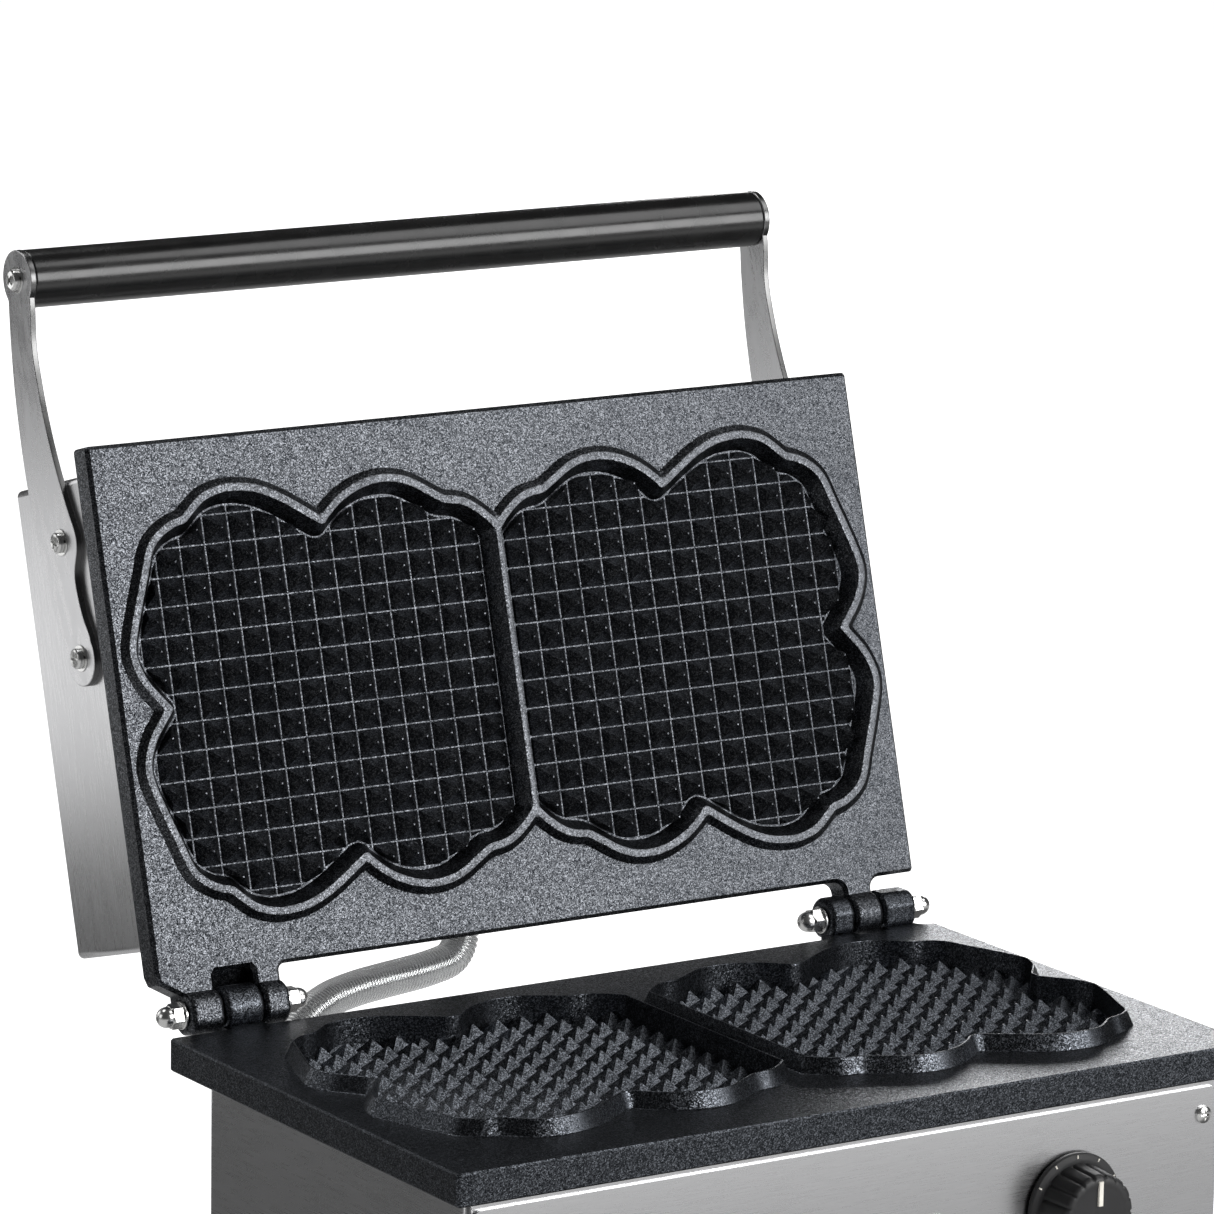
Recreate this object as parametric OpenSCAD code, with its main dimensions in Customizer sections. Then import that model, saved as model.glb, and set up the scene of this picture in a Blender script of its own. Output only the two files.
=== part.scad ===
// Commercial double waffle iron with its lid standing open.
// +X runs to the right along the hinge, +Y to the back, +Z up. The feet stand on z = 0 and the
// origin is the centre of the whole open machine's outline on that surface. Millimetres.

/* [Plates] */
// Width of the lid's cooking plate
plate_w = 400; // [380:10:420]
// Depth of both cooking plates, from the hinge side to the front
plate_d = 233; // [220:1:245]
// Thickness of the lid's cooking plate
lid_plate_t = 13.5; // [13:0.5:16]
// Thickness of the base's cooking plate
base_plate_t = 14.4; // [14:0.2:20]
// Pitch of the waffle grid, the same both ways
grid_pitch = 12.7; // [12:0.1:14]
// Height of the waffle pyramids
pyramid_h = 6.4; // [5:0.1:6.8]
// Width of the ridge that stands round the lid's pockets
ridge_w = 3.8; // [3:0.1:4]
// Height of that ridge above the lid plate's face
ridge_h = 2.8; // [1:0.1:2.9]
// Height of the thin rim round the base's pockets, which enters a channel inside the lid's ridge
rim_h = 7.2; // [4:0.1:7.4]

/* [Lid] */
// Angle past upright at which the open lid rests
open_tilt = 16; // [5:1:20]
// Width of the lid's stainless cover
cover_w = 385; // [370:1:388]
// Depth of the lid's stainless cover behind the plate
cover_t = 70; // [60:1:80]
// Thickness of the stainless sheet
sheet_t = 1.2; // [1:0.1:2]
// Radius of the handle tube
handle_r = 12.9; // [11:0.1:14]
// Thickness of the handle's two arms
arm_t = 3; // [2:0.5:3]

/* [Base] */
// Height of the base casing
case_h = 96; // [85:1:120]
// Depth of the base casing
case_d = 210; // [200:1:214]
// Height of the rubber feet
foot_h = 16; // [12:1:25]

/* [Hidden] */
$fn = 48;

eps = 0.01;
slack = 0.15;          // clearance between a screw and its hole
run_fit = 0.05;        // clearance between a turning shaft and its bore

// Hinge
knuckle_r = 10;
pin_r = 3;
knuckle_gap = 0.5;
axis_to_lid_face = 2.5;    // the lid plate's face stands this far in front of the axis
axis_to_base_face = 5.6;   // the base plate's face lies this far below the axis
lid_edge = 16;             // from the axis to the lid plate's hinge edge
base_edge = 12;            // from the axis to the base plate's back edge
left_pin = [-188.5, -139]; // the outer faces that each pin's washers bear on
right_pin = [147, 194];
left_knuckles = [-171.5, -152.5]; // the base's knuckle on the left, between two of the lid's
right_knuckles = [160.5, 175.5]; // the lid's knuckle on the right, between two of the base's
base_knuckles = [left_knuckles, [right_pin[0], right_knuckles[0] - knuckle_gap],
    [right_knuckles[1] + knuckle_gap, right_pin[1]]];
washer_t = 1.6;
washer_gap = 0.3;
nut_t = 5.5;
nut_af = 10;
dome_r = 4.7;

// Plates
base_plate_w = plate_w + 4;
base_plate_d = lid_edge + plate_d - base_edge;
plate_corner_r = 2;
pocket_mid = 131.8;        // from the hinge axis to the middle of both plates' pockets
pocket_floor = 5;          // depth of the lid pockets' floor below the face
lid_tip_z = pyramid_h - pocket_floor;
base_tip_z = -0.5;         // height of the base's pyramid tips above its face
valley_w = 0.8;            // flat between two pyramids
tip_w = 0.6;               // flat on top of a pyramid
// Distances inside the pockets' outline: the lid's channel and the base's rim
channel = [-5.5, -2];
rim = [-5, -4];
divider_half = 1.5;
half_grid = plate_w / 2 + grid_pitch;
first_x = 5.7;             // the first groove on each side of the centre
lid_depth_mid = lid_edge + plate_d / 2;
base_depth_mid = -base_edge - base_plate_d / 2;

// Lid cover, in the lid's own frame: y from the hinge axis, z towards the cooking face
lid_back = axis_to_lid_face - lid_plate_t;
cover_y = [29, 238];
cover_back = lid_back - cover_t;
cover_r = 3;
cover_screw_xy = [for (x = [-150, 150]) for (y = [60, 207]) [x, y]];

// Handle and arms, in the lid's own frame
handle_at = [328.6, -48.8];
arm_boss_r = 13.1;
arm_foot_r = 12.5;
arm_screw_at = [[211.2, -40.3], [159.7, -36.4]];
core_r = 8;
// The arm's outline: y from the hinge axis and z towards the cooking face
arm_back = [[326, -58], [318, -59.8], [300, -62.8], [274, -65.3], [240, -65.2], [206, -60.4],
    [182, -55.4], [166, -49.2], [160, -45]];
arm_front = [[160, -28], [167, -25.5], [178, -29.8], [190, -32], [198, -31.2], [207, -26.8],
    [214, -26.6], [227, -31.4], [246, -37.2], [264, -41], [280, -43], [298, -43.6],
    [318, -39.8], [326, -41]];
arm_x = cover_w / 2;
screw_r = 2.5;
head_r = 4.6;
head_h = 2.8;
arm_washer_r = 6;
arm_washer_t = 1;

// Base, y measured from the hinge axis and z from the floor
case_top = foot_h + case_h;
face_z = case_top + base_plate_t;
hinge_z = face_z + axis_to_base_face;
case_back = -30;
case_front = case_back - case_d;
case_mid = (case_back + case_front) / 2;
panel_t = 1.5;
panel_z = [foot_h + 6, case_top - 5];
control_z = (panel_z[0] + panel_z[1]) / 2;
panel_face = case_front - panel_t;
knob_reach = 22;
base_spacer_xy = [for (x = [-180, 180]) for (y = [-42, -228]) [x, y]];
panel_screw_xz = [for (x = [-182, 182]) for (z = [panel_z[0] + 12, panel_z[1] - 12]) [x, z]];
bottom_screw_xy = [for (x = [-1, 1]) for (y = [-90, -135, -180]) [x * (cover_w / 2 - 10), y]];
cord_gland_x = 140;
cord_gland_z = 50;
cord_gland_r = 8;
cord_bore_r = 4.2;
foot_r = 14;
foot_x = cover_w / 2 - 28;
foot_y = [case_back - 24, case_front + 26];
lid_reach = handle_at[0] * sin(open_tilt) - handle_at[1] * cos(open_tilt) + arm_boss_r;
hinge_y = (-(panel_face - knob_reach) - lid_reach) / 2;

// Controls
thermostat_x = -112;
timer_x = 112;
shaft_r = 3;
panel_bush_r = 5;
knob_r = 20;
knob_skirt_r = 24;
knob_h = 17;
knob_gap = 1;
rocker_size = [20, 12];
rocker_pin_r = 1.2;
rocker_pin_l = 1.5;
rocker_tilt = 8;
lamp_x = 42;
lamp_r = 5;

// Heating elements
element_r = 3.25;
element_run = 140;
element_pitch = 44;
element_gap = 0.2;         // between a heater and its plate
end_bend_r = 8;
cold_end_x = -element_run - end_bend_r;
cold_y = [for (s = [-1.5, 1.5]) s * element_pitch];
clamp_xy = [for (x = [-90, 90]) for (y = [-1, 1]) [x, y * element_pitch]];
cold_end_l = 24;
shield_w = 330;
shield_d = 180;
wool_t = 14;
lid_shield_drop = 13.6;    // from a plate's back to its heat shield
base_shield_drop = 15.6;

// Flexible conduit between lid and base
conduit_r = 8.2;
lid_fitting_x = -14.5;
lid_fitting_z = -50;
base_fitting_x = -150;
base_fitting_z = 60;
lid_fitting_l = 8;
base_fitting_l = 12;
fitting_r = 10.2;
// Route of the conduit from the lid's fitting to the base's, x, y and z from the hinge axis
conduit_path = [[-14.5, 53.8, 6.4], [-14.5, 53.4, 5], [-15.3, 52, 0.3], [-17.7, 50.7, -3.8],
    [-21.3, 49.5, -7], [-26.1, 48.6, -8.8], [-37.5, 47.2, -10.4], [-50, 45.6, -11.2],
    [-64, 43.5, -11.8], [-79, 40, -12.4], [-94, 35.5, -14], [-108, 29, -17.5], [-119, 24, -24],
    [-128, 20, -33], [-135, 17, -43], [-141, 13, -53], [-146, 7, -62], [-149, -1, -68.5],
    [-150, -8, -71.4], [-150, -13.5, -72], [-150, -17.9, -72]];

// ---------- shared shapes ----------

// Points of a smooth curve through every point of a list, three to a span
function curve_point(a, b, c, d, t) =
    0.5 * (2 * b + (c - a) * t + (2 * a - 5 * b + 4 * c - d) * t * t
        + (3 * b - a - 3 * c + d) * t * t * t);
function smooth(p, spans = 3) = [
    for (i = [0:len(p) - 2])
        for (k = [0:spans - 1])
            curve_point(p[max(i - 1, 0)], p[i], p[i + 1], p[min(i + 2, len(p) - 1)], k / spans)];

// One quarter of a batter pocket's outline, from its outer side and round to the divider, from
// the pockets' middle; the lobes meet in small rounded points
pocket_edge = [[-175.5, 0], [-176.3, 1.3], [-180.4, 6.3], [-185.6, 13], [-189.2, 21.6],
    [-189.4, 29], [-185.5, 41.6], [-179.7, 57.2], [-175.4, 68.7], [-170.4, 74.2], [-164, 77.8],
    [-157.8, 79.6], [-153.4, 83.2], [-147, 88.2], [-139, 90.8], [-131.8, 91.2], [-121, 89.6],
    [-109, 84.4], [-94, 74.9], [-90.8, 73], [-88.4, 73], [-85.4, 76], [-77, 82.4], [-65.4, 87.2],
    [-54, 88.3], [-43.2, 85.8], [-30.4, 78.4], [-25.8, 76.2], [-19, 75.1], [-13.2, 72.7],
    [-6.1, 67.2], [-divider_half, 62.2]];
pocket_half = concat(smooth(pocket_edge, 2), [[-divider_half, 62.2]]);
pocket_outline = concat(pocket_half,
    [for (i = [len(pocket_half) - 1:-1:1]) [pocket_half[i][0], -pocket_half[i][1]]]);

module pockets_2d() {
    polygon(pocket_outline);
    mirror([1, 0]) polygon(pocket_outline);
}

module rounded_rect(w, d, r) {
    square([w - 2 * r, d], center = true);
    square([w, d - 2 * r], center = true);
    for (x = [-1, 1])
        for (y = [-1, 1])
            translate([x * (w / 2 - r), y * (d / 2 - r)]) circle(r);
}

// The fillet in an inner corner, its corner at the origin and its round towards +x, +y
module corner_fillet(r) {
    difference() {
        square(r);
        translate([r, r]) circle(r);
    }
}

module rod_x(r, x0, x1) translate([x0, 0, 0]) rotate([0, 90, 0]) cylinder(r = r, h = x1 - x0);
module hex_x(af, x0, x1)
    translate([x0, 0, 0]) rotate([0, 90, 0]) cylinder(r = af / sqrt(3), h = x1 - x0, $fn = 6);

// The space between the pyramids, from the valleys up to just past the tips
module waffle_grooves(floor_z) {
    rise = pyramid_h + 0.5;
    half_top = (grid_pitch - tip_w) / 2 + 0.5 * (grid_pitch - tip_w - valley_w) / (2 * pyramid_h);
    section = [[-valley_w / 2, 0], [valley_w / 2, 0], [half_top, rise], [-half_top, rise]];
    for (side = [-1, 1])
        for (k = [0:14])
            translate([side * (first_x + k * grid_pitch), plate_d / 2, floor_z])
                rotate([90, 0, 0]) linear_extrude(plate_d) polygon(section);
    for (k = [-7:6])
        translate([-half_grid, (k + 0.5) * grid_pitch, floor_z])
            rotate([90, 0, 90]) linear_extrude(2 * half_grid) polygon(section);
}

// The band between two distances from the pockets' outlines, standing on z = 0
module band(inner, outer, h)
    linear_extrude(h)
        difference() {
            offset(outer) pockets_2d();
            offset(inner) pockets_2d();
        }

// The grooves that part the pyramids, as far as a distance from the pockets' outlines
module pyramid_cut(reach, tip_z)
    intersection() {
        waffle_grooves(tip_z - pyramid_h);
        translate([0, 0, tip_z - pyramid_h - 1]) linear_extrude(pyramid_h + 1.4)
            offset(reach) pockets_2d();
    }

// A pan-head screw with a crossed recess, its head's underside at z = 0 and the head upwards
module pan_screw(r, l, hr = head_r, hh = head_h) {
    difference() {
        union() {
            translate([0, 0, -l]) cylinder(r = r, h = l + eps);
            intersection() {
                cylinder(r = hr, h = hh);
                translate([0, 0, hh - 1.9 * hr]) sphere(1.9 * hr, $fn = 64);
            }
        }
        for (a = [0, 90])
            rotate(a) translate([-0.55 * hr, -0.12 * hr, 0.4 * hh])
                cube([1.1 * hr, 0.24 * hr, hh]);
    }
}

module washer(r, hole_r, t) {
    difference() {
        cylinder(r = r, h = t);
        translate([0, 0, -1]) cylinder(r = hole_r, h = t + 2);
    }
}

// An acorn nut standing on z = 0, blind from below
module acorn_nut() {
    difference() {
        union() {
            cylinder(r = nut_af / sqrt(3), h = nut_t, $fn = 6);
            translate([0, 0, nut_t - eps]) cylinder(r = dome_r, h = 1.5);
            translate([0, 0, nut_t + 1]) sphere(dome_r);
        }
        translate([0, 0, -1]) cylinder(r = pin_r + slack, h = nut_t + 1.5);
        translate([0, 0, -10]) cylinder(r = 10, h = 10);
    }
}

module lid_frame()
    translate([0, hinge_y, hinge_z]) rotate([90 - open_tilt, 0, 0]) children();
module base_frame() translate([0, hinge_y, 0]) children();

// A serpentine tubular heater in the plane z = 0, its two cold ends turned down to -drop
module heater(drop) {
    rows = 4;
    first = -(rows - 1) / 2 * element_pitch;
    bend_r = element_pitch / 2;
    for (i = [0:rows - 1])
        translate([0, first + i * element_pitch, 0]) rod_x(element_r, -element_run, element_run);
    for (i = [0:rows - 2])
        translate([(i % 2 == 0 ? 1 : -1) * element_run, first + (i + 0.5) * element_pitch, 0])
            rotate(i % 2 == 0 ? -90 : 90) rotate_extrude(angle = 180)
                translate([bend_r, 0]) circle(element_r);
    for (i = [0, rows - 1])
        translate([-element_run, first + i * element_pitch, -end_bend_r]) {
            rotate([90, 0, 0]) rotate([0, 0, 90]) rotate_extrude(angle = 90)
                translate([end_bend_r, 0]) circle(element_r);
            translate([-end_bend_r, 0, end_bend_r - drop])
                cylinder(r = element_r, h = drop - end_bend_r);
        }
}
// ---------- lid ----------

module lid_outline_2d() {
    tab_r = 5;
    wide_tab_r = 3;
    translate([0, lid_depth_mid]) rounded_rect(plate_w, plate_d, plate_corner_r);
    // the wide tab on the left, which carries two knuckles
    polygon([[-plate_w / 2 + 1, lid_edge + 6], [-plate_w / 2 + 1, lid_edge - 2],
        [left_pin[0], lid_edge - 8], [left_pin[0], 0], [left_pin[1], 0],
        [left_pin[1], lid_edge + 6]]);
    translate([left_pin[1], lid_edge]) mirror([0, 1]) corner_fillet(wide_tab_r);
    // the narrow tab on the right, which carries one
    translate([right_knuckles[0], 0])
        square([right_knuckles[1] - right_knuckles[0], lid_edge + 6]);
    translate([right_knuckles[1], lid_edge]) mirror([0, 1]) corner_fillet(tab_r);
    translate([right_knuckles[0], lid_edge]) mirror([1, 0]) mirror([0, 1]) corner_fillet(tab_r);
}

module lid_plate() color([0.25, 0.26, 0.28]) lid_frame() {
    difference() {
        union() {
            translate([0, 0, lid_back]) linear_extrude(lid_plate_t) lid_outline_2d();
            rod_x(knuckle_r, left_pin[0], left_pin[1]);
            rod_x(knuckle_r, right_knuckles[0], right_knuckles[1]);
            // the ridge round both pockets and between them
            translate([0, pocket_mid, axis_to_lid_face - eps]) band(0, ridge_w, ridge_h + eps);
            // the pyramids' tips stand a little above the face
            translate([0, pocket_mid, axis_to_lid_face - eps]) linear_extrude(lid_tip_z + eps)
                offset(channel[0]) pockets_2d();
        }
        translate([0, pocket_mid, axis_to_lid_face]) {
            pyramid_cut(channel[0] + 0.2, lid_tip_z);
            translate([0, 0, -pocket_floor]) band(channel[0], channel[1], 2 * pocket_floor);
        }
        // room for the base's knuckle on the left
        rod_x(knuckle_r + 2, left_knuckles[0] - knuckle_gap, left_knuckles[1] + knuckle_gap);
        rod_x(pin_r + run_fit, -plate_w, plate_w);
        translate([0, lid_depth_mid, lid_back]) stud_holes();
    }
}

// Blind holes for the clamps' studs; z = 0 is the plate's back
module stud_holes()
    for (p = clamp_xy)
        translate([p[0], p[1], -eps]) cylinder(r = 2, h = 2);

module lid_cover() color([0.75, 0.76, 0.77]) lid_frame() {
    cover_h = cover_y[1] - cover_y[0];
    mid_y = (cover_y[0] + cover_y[1]) / 2;
    flange_w = 12;
    difference() {
        translate([0, mid_y, cover_back]) linear_extrude(cover_t)
            rounded_rect(cover_w, cover_h, cover_r);
        translate([0, mid_y, cover_back + sheet_t]) linear_extrude(cover_t - 2 * sheet_t)
            rounded_rect(cover_w - 2 * sheet_t, cover_h - 2 * sheet_t, cover_r - sheet_t);
        translate([0, mid_y, lid_back - 2 * sheet_t]) linear_extrude(3 * sheet_t)
            rounded_rect(cover_w - 2 * flange_w, cover_h - 2 * flange_w, cover_r);
        for (p = arm_screw_at)
            translate([0, p[0], p[1]]) rod_x(screw_r + slack, -plate_w, plate_w);
        translate([lid_fitting_x, cover_y[0] - 1, lid_fitting_z])
            rotate([-90, 0, 0]) cylinder(r = conduit_r + slack, h = 4);
        for (p = cover_screw_xy)
            translate([p[0], p[1], cover_back - 1]) cylinder(r = 2 + slack, h = 4);
    }
}

module lid_cover_screws() color([0.8, 0.8, 0.8]) lid_frame()
    for (p = cover_screw_xy)
        translate([p[0], p[1], cover_back]) mirror([0, 0, 1]) pan_screw(2, 10, 3.8, 2.2);

module lid_heating_element() color([0.35, 0.33, 0.32]) lid_frame()
    translate([0, lid_depth_mid, lid_back - element_r - element_gap]) heater(cold_end_l);

// Saddle straps that press a heater against a plate; z = 0 is the plate's back
module element_clamps() {
    strap_w = 14;
    strap_t = 1.5;
    drop = 2 * (element_r + element_gap);
    for (x = [-90, 90])
        difference() {
            translate([x - strap_w / 2, -78, -drop - strap_t]) cube([strap_w, 156, strap_t]);
            for (p = clamp_xy)
                translate([p[0], p[1], -30]) cylinder(r = 2 + slack, h = 40);
        }
    for (p = clamp_xy)
        difference() {
            translate([p[0], p[1], -drop - strap_t - 3]) {
                cylinder(r = 4, h = 3, $fn = 6);
                cylinder(r = 1.8, h = drop + strap_t + 4);
            }
        }
}

module lid_element_clamps() color([0.7, 0.7, 0.7]) lid_frame()
    translate([0, lid_depth_mid, lid_back]) element_clamps();

module heat_shield() {
    difference() {
        linear_extrude(sheet_t) rounded_rect(shield_w, shield_d, 6);
        for (y = cold_y)
            translate([cold_end_x, y, -1]) cylinder(r = element_r + 1, h = 4);
    }
}

module lid_heat_shield() color([0.8, 0.8, 0.8]) lid_frame()
    translate([0, lid_depth_mid, lid_back - lid_shield_drop]) heat_shield();

// A mat of ceramic wool, with holes for the heater's cold ends
module insulation(t) {
    difference() {
        linear_extrude(t) rounded_rect(shield_w, shield_d, 6);
        for (y = cold_y)
            translate([cold_end_x, y, -1]) cylinder(r = element_r + 1, h = t + 2);
    }
}
module lid_insulation() color([0.9, 0.89, 0.85]) lid_frame()
    translate([0, lid_depth_mid, lid_back - lid_shield_drop - wool_t]) insulation(wool_t);

// A ceramic terminal block with two screws, standing on z = 0
module terminal_block() {
    difference() {
        translate([-20, -9, 0]) cube([40, 18, 14]);
        for (x = [-10, 10])
            translate([x, 0, 6]) cylinder(r = 3, h = 10);
    }
    for (x = [-10, 10])
        translate([x, 0, 5]) cylinder(r = 2.4, h = 6);
}

module lid_terminal_block() color([0.92, 0.9, 0.86]) lid_frame()
    translate([-100, 60, cover_back + sheet_t]) terminal_block();

// A conduit fitting on a wall at z = 0: collar and ferrule outside (up), locknut inside (down)
module conduit_fitting(l) {
    difference() {
        union() {
            cylinder(r = fitting_r + 2, h = 4, $fn = 6);
            translate([0, 0, 4 - eps]) cylinder(r = fitting_r, h = l - 4 + eps);
            translate([0, 0, -sheet_t - eps]) cylinder(r = conduit_r, h = sheet_t + 2 * eps);
            translate([0, 0, -sheet_t - 4]) cylinder(r = fitting_r + 2, h = 4, $fn = 6);
        }
        translate([0, 0, -20]) cylinder(r = conduit_r - 1.6, h = 40);
    }
}

module lid_conduit_fitting() color([0.8, 0.81, 0.82]) lid_frame()
    translate([lid_fitting_x, cover_y[0], lid_fitting_z]) rotate([90, 0, 0])
        conduit_fitting(lid_fitting_l);

module arm_solid()
    difference() {
        union() {
            linear_extrude(arm_t)
                polygon(concat(smooth(arm_back), [arm_back[len(arm_back) - 1]],
                    smooth(arm_front), [arm_front[len(arm_front) - 1]]));
            translate(handle_at) cylinder(r = arm_boss_r, h = arm_t);
            translate(arm_screw_at[1]) cylinder(r = arm_foot_r, h = arm_t);
        }
        for (p = concat([handle_at], arm_screw_at))
            translate([p[0], p[1], -1]) cylinder(r = screw_r + slack, h = arm_t + 2);
    }

// Turns a shape drawn in y and z so that it stands across the x axis
module across_x(x) translate([x, 0, 0]) rotate([90, 0, 90]) children();

module left_arm() color([0.78, 0.79, 0.8]) lid_frame()
    across_x(-arm_x - arm_t) arm_solid();
module right_arm() color([0.78, 0.79, 0.8]) lid_frame()
    across_x(arm_x) arm_solid();

module handle_grip() color([0.05, 0.05, 0.05]) lid_frame()
    translate([0, handle_at[0], handle_at[1]])
        difference() {
            rod_x(handle_r, -arm_x, arm_x);
            rod_x(core_r + slack, -arm_x - 1, arm_x + 1);
        }

module handle_core() color([0.6, 0.6, 0.6]) lid_frame()
    translate([0, handle_at[0], handle_at[1]])
        difference() {
            rod_x(core_r, -arm_x, arm_x);
            for (s = [-1, 1])
                rod_x(screw_r + slack, s * arm_x - 22, s * arm_x + 22);
        }

// Places its children on the outside of both arms, z pointing outwards
module outside_arms(points)
    for (s = [-1, 1])
        for (p = points)
            translate([s * (arm_x + arm_t), p[0], p[1]]) rotate([0, s * 90, 0]) children();

module handle_screws() color([0.85, 0.85, 0.85]) lid_frame()
    outside_arms([handle_at]) translate([0, 0, arm_washer_t]) pan_screw(screw_r, 22);
module arm_screws() color([0.85, 0.85, 0.85]) lid_frame()
    outside_arms(arm_screw_at) translate([0, 0, arm_washer_t]) pan_screw(screw_r, 14);
module arm_washers() color([0.8, 0.8, 0.8]) lid_frame()
    outside_arms(concat([handle_at], arm_screw_at))
        washer(arm_washer_r, screw_r + slack, arm_washer_t);
module arm_nuts() color([0.7, 0.7, 0.7]) lid_frame()
    outside_arms(arm_screw_at) translate([0, 0, -arm_t - sheet_t - 4])
        difference() {
            cylinder(r = 4.6, h = 4, $fn = 6);
            translate([0, 0, -1]) cylinder(r = screw_r + slack, h = 6);
        }

// ---------- hinge ----------

module hinge_pin(span)
    rod_x(pin_r, span[0] - washer_t - nut_t, span[1] + washer_t + nut_t);
module left_hinge_pin() color([0.75, 0.75, 0.75])
    translate([0, hinge_y, hinge_z]) hinge_pin(left_pin);
module right_hinge_pin() color([0.75, 0.75, 0.75])
    translate([0, hinge_y, hinge_z]) hinge_pin(right_pin);

// Places its children outwards of every knuckle end, z pointing away from the hinge
module at_pin_ends(out)
    translate([0, hinge_y, hinge_z])
        for (span = [left_pin, right_pin])
            for (e = [0, 1])
                translate([span[e] + (e == 0 ? -out : out), 0, 0])
                    rotate([0, e == 0 ? -90 : 90, 0]) children();

module hinge_washers() color([0.8, 0.8, 0.8])
    at_pin_ends(washer_gap)
    washer(6.2, pin_r + slack, washer_t - washer_gap);
module hinge_nuts() color([0.85, 0.85, 0.85]) at_pin_ends(washer_t) acorn_nut();

// ---------- base ----------

module base_outline_2d() {
    tab_r = 5;
    translate([0, base_depth_mid]) rounded_rect(base_plate_w, base_plate_d, plate_corner_r);
    for (span = base_knuckles)
        translate([span[0], -base_edge - 6]) square([span[1] - span[0], base_edge + 6]);
    for (span = base_knuckles) {
        translate([span[1], -base_edge]) corner_fillet(tab_r);
        translate([span[0], -base_edge]) mirror([1, 0]) corner_fillet(tab_r);
    }
}

module base_plate() color([0.16, 0.16, 0.17])
    translate([0, hinge_y, hinge_z])
        difference() {
            union() {
                translate([0, 0, -axis_to_base_face - base_plate_t])
                    linear_extrude(base_plate_t) base_outline_2d();
                for (span = base_knuckles)
                    rod_x(knuckle_r, span[0], span[1]);
                translate([0, -pocket_mid, -axis_to_base_face - eps])
                    band(rim[0], rim[1], rim_h + eps);
            }
            translate([0, -pocket_mid, -axis_to_base_face]) {
                translate([0, 0, base_tip_z]) linear_extrude(10) offset(rim[0]) pockets_2d();
                pyramid_cut(rim[0] - 0.6, base_tip_z);
            }
            rod_x(knuckle_r + 2, right_knuckles[0] - knuckle_gap, right_knuckles[1] + knuckle_gap);
            rod_x(pin_r + slack / 5, -plate_w, plate_w);
            // flats that let the lid's knuckle ends pass on the left
            rod_x(knuckle_r + 2, left_pin[0] - 4, left_knuckles[0]);
            rod_x(knuckle_r + 2, left_knuckles[1], left_pin[1] + 4);
            translate([0, case_mid, -axis_to_base_face - base_plate_t]) stud_holes();
            for (p = base_spacer_xy)
                translate([p[0], p[1], -axis_to_base_face - base_plate_t - eps])
                    cylinder(r = 2 + slack, h = 4);
        }

module base_plate_spacers() color([0.7, 0.7, 0.7]) base_frame()
    for (p = base_spacer_xy)
        translate([p[0], p[1], case_top - sheet_t - 12]) {
            cylinder(r = 5, h = 12, $fn = 6);
            cylinder(r = 2, h = 12 + sheet_t + 3);
        }

module base_casing() color([0.75, 0.76, 0.77]) base_frame() {
    mid_y = (case_back + case_front) / 2;
    lip = 24;
    bottom_lip = 18;
    difference() {
        translate([0, mid_y, foot_h]) linear_extrude(case_h)
            rounded_rect(cover_w, case_d, cover_r);
        translate([0, mid_y, foot_h + sheet_t]) linear_extrude(case_h - 2 * sheet_t)
            rounded_rect(cover_w - 2 * sheet_t, case_d - 2 * sheet_t, cover_r - sheet_t);
        translate([0, mid_y, foot_h - 1]) linear_extrude(3 * sheet_t)
            rounded_rect(cover_w - 2 * bottom_lip, case_d - 2 * bottom_lip, cover_r);
        for (p = bottom_screw_xy)
            translate([p[0], p[1], foot_h - 1]) cylinder(r = 2 + slack, h = 4);
        translate([0, mid_y, case_top - 2 * sheet_t]) linear_extrude(3 * sheet_t)
            rounded_rect(cover_w - 2 * lip, case_d - 2 * lip, cover_r);
        // the open front that the control panel covers
        translate([-cover_w / 2 + 16, case_front - 1, panel_z[0] + 10])
            cube([cover_w - 32, 4, panel_z[1] - panel_z[0] - 20]);
        for (p = base_spacer_xy)
            translate([p[0], p[1], case_top - 4]) cylinder(r = 2 + slack, h = 8);
        for (p = panel_screw_xz)
            translate([p[0], case_front - 1, p[1]]) rotate([-90, 0, 0]) cylinder(r = 2 + slack, h = 6);
        translate([base_fitting_x, case_back + 1, base_fitting_z])
            rotate([90, 0, 0]) cylinder(r = conduit_r + slack, h = 4);
        translate([cord_gland_x, case_back + 1, cord_gland_z])
            rotate([90, 0, 0]) cylinder(r = cord_gland_r + slack, h = 4);
    }
}

module front_panel() color([0.72, 0.73, 0.74]) base_frame()
    difference() {
        translate([0, case_front, control_z]) rotate([90, 0, 0]) linear_extrude(panel_t)
            rounded_rect(cover_w - 6, panel_z[1] - panel_z[0], 3);
        for (x = [thermostat_x, timer_x])
            panel_hole(x, panel_bush_r + slack);
        for (x = [-lamp_x, lamp_x])
            panel_hole(x, lamp_r + slack);
        translate([-rocker_size[0] / 2 - 2.2, case_front - 5, control_z - rocker_size[1] / 2 - 2.2])
            cube([rocker_size[0] + 4.4, 10, rocker_size[1] + 4.4]);
        for (p = panel_screw_xz)
            translate([p[0], case_front + 1, p[1]]) rotate([90, 0, 0]) cylinder(r = 2 + slack, h = 6);
    }
module panel_hole(x, r)
    translate([x, case_front + 1, control_z]) rotate([90, 0, 0]) cylinder(r = r, h = 6);

module front_panel_screws() color([0.85, 0.85, 0.85]) base_frame()
    for (p = panel_screw_xz)
        translate([p[0], panel_face, p[1]]) rotate([90, 0, 0]) pan_screw(2, 10, 3.8, 2.2);

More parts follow.
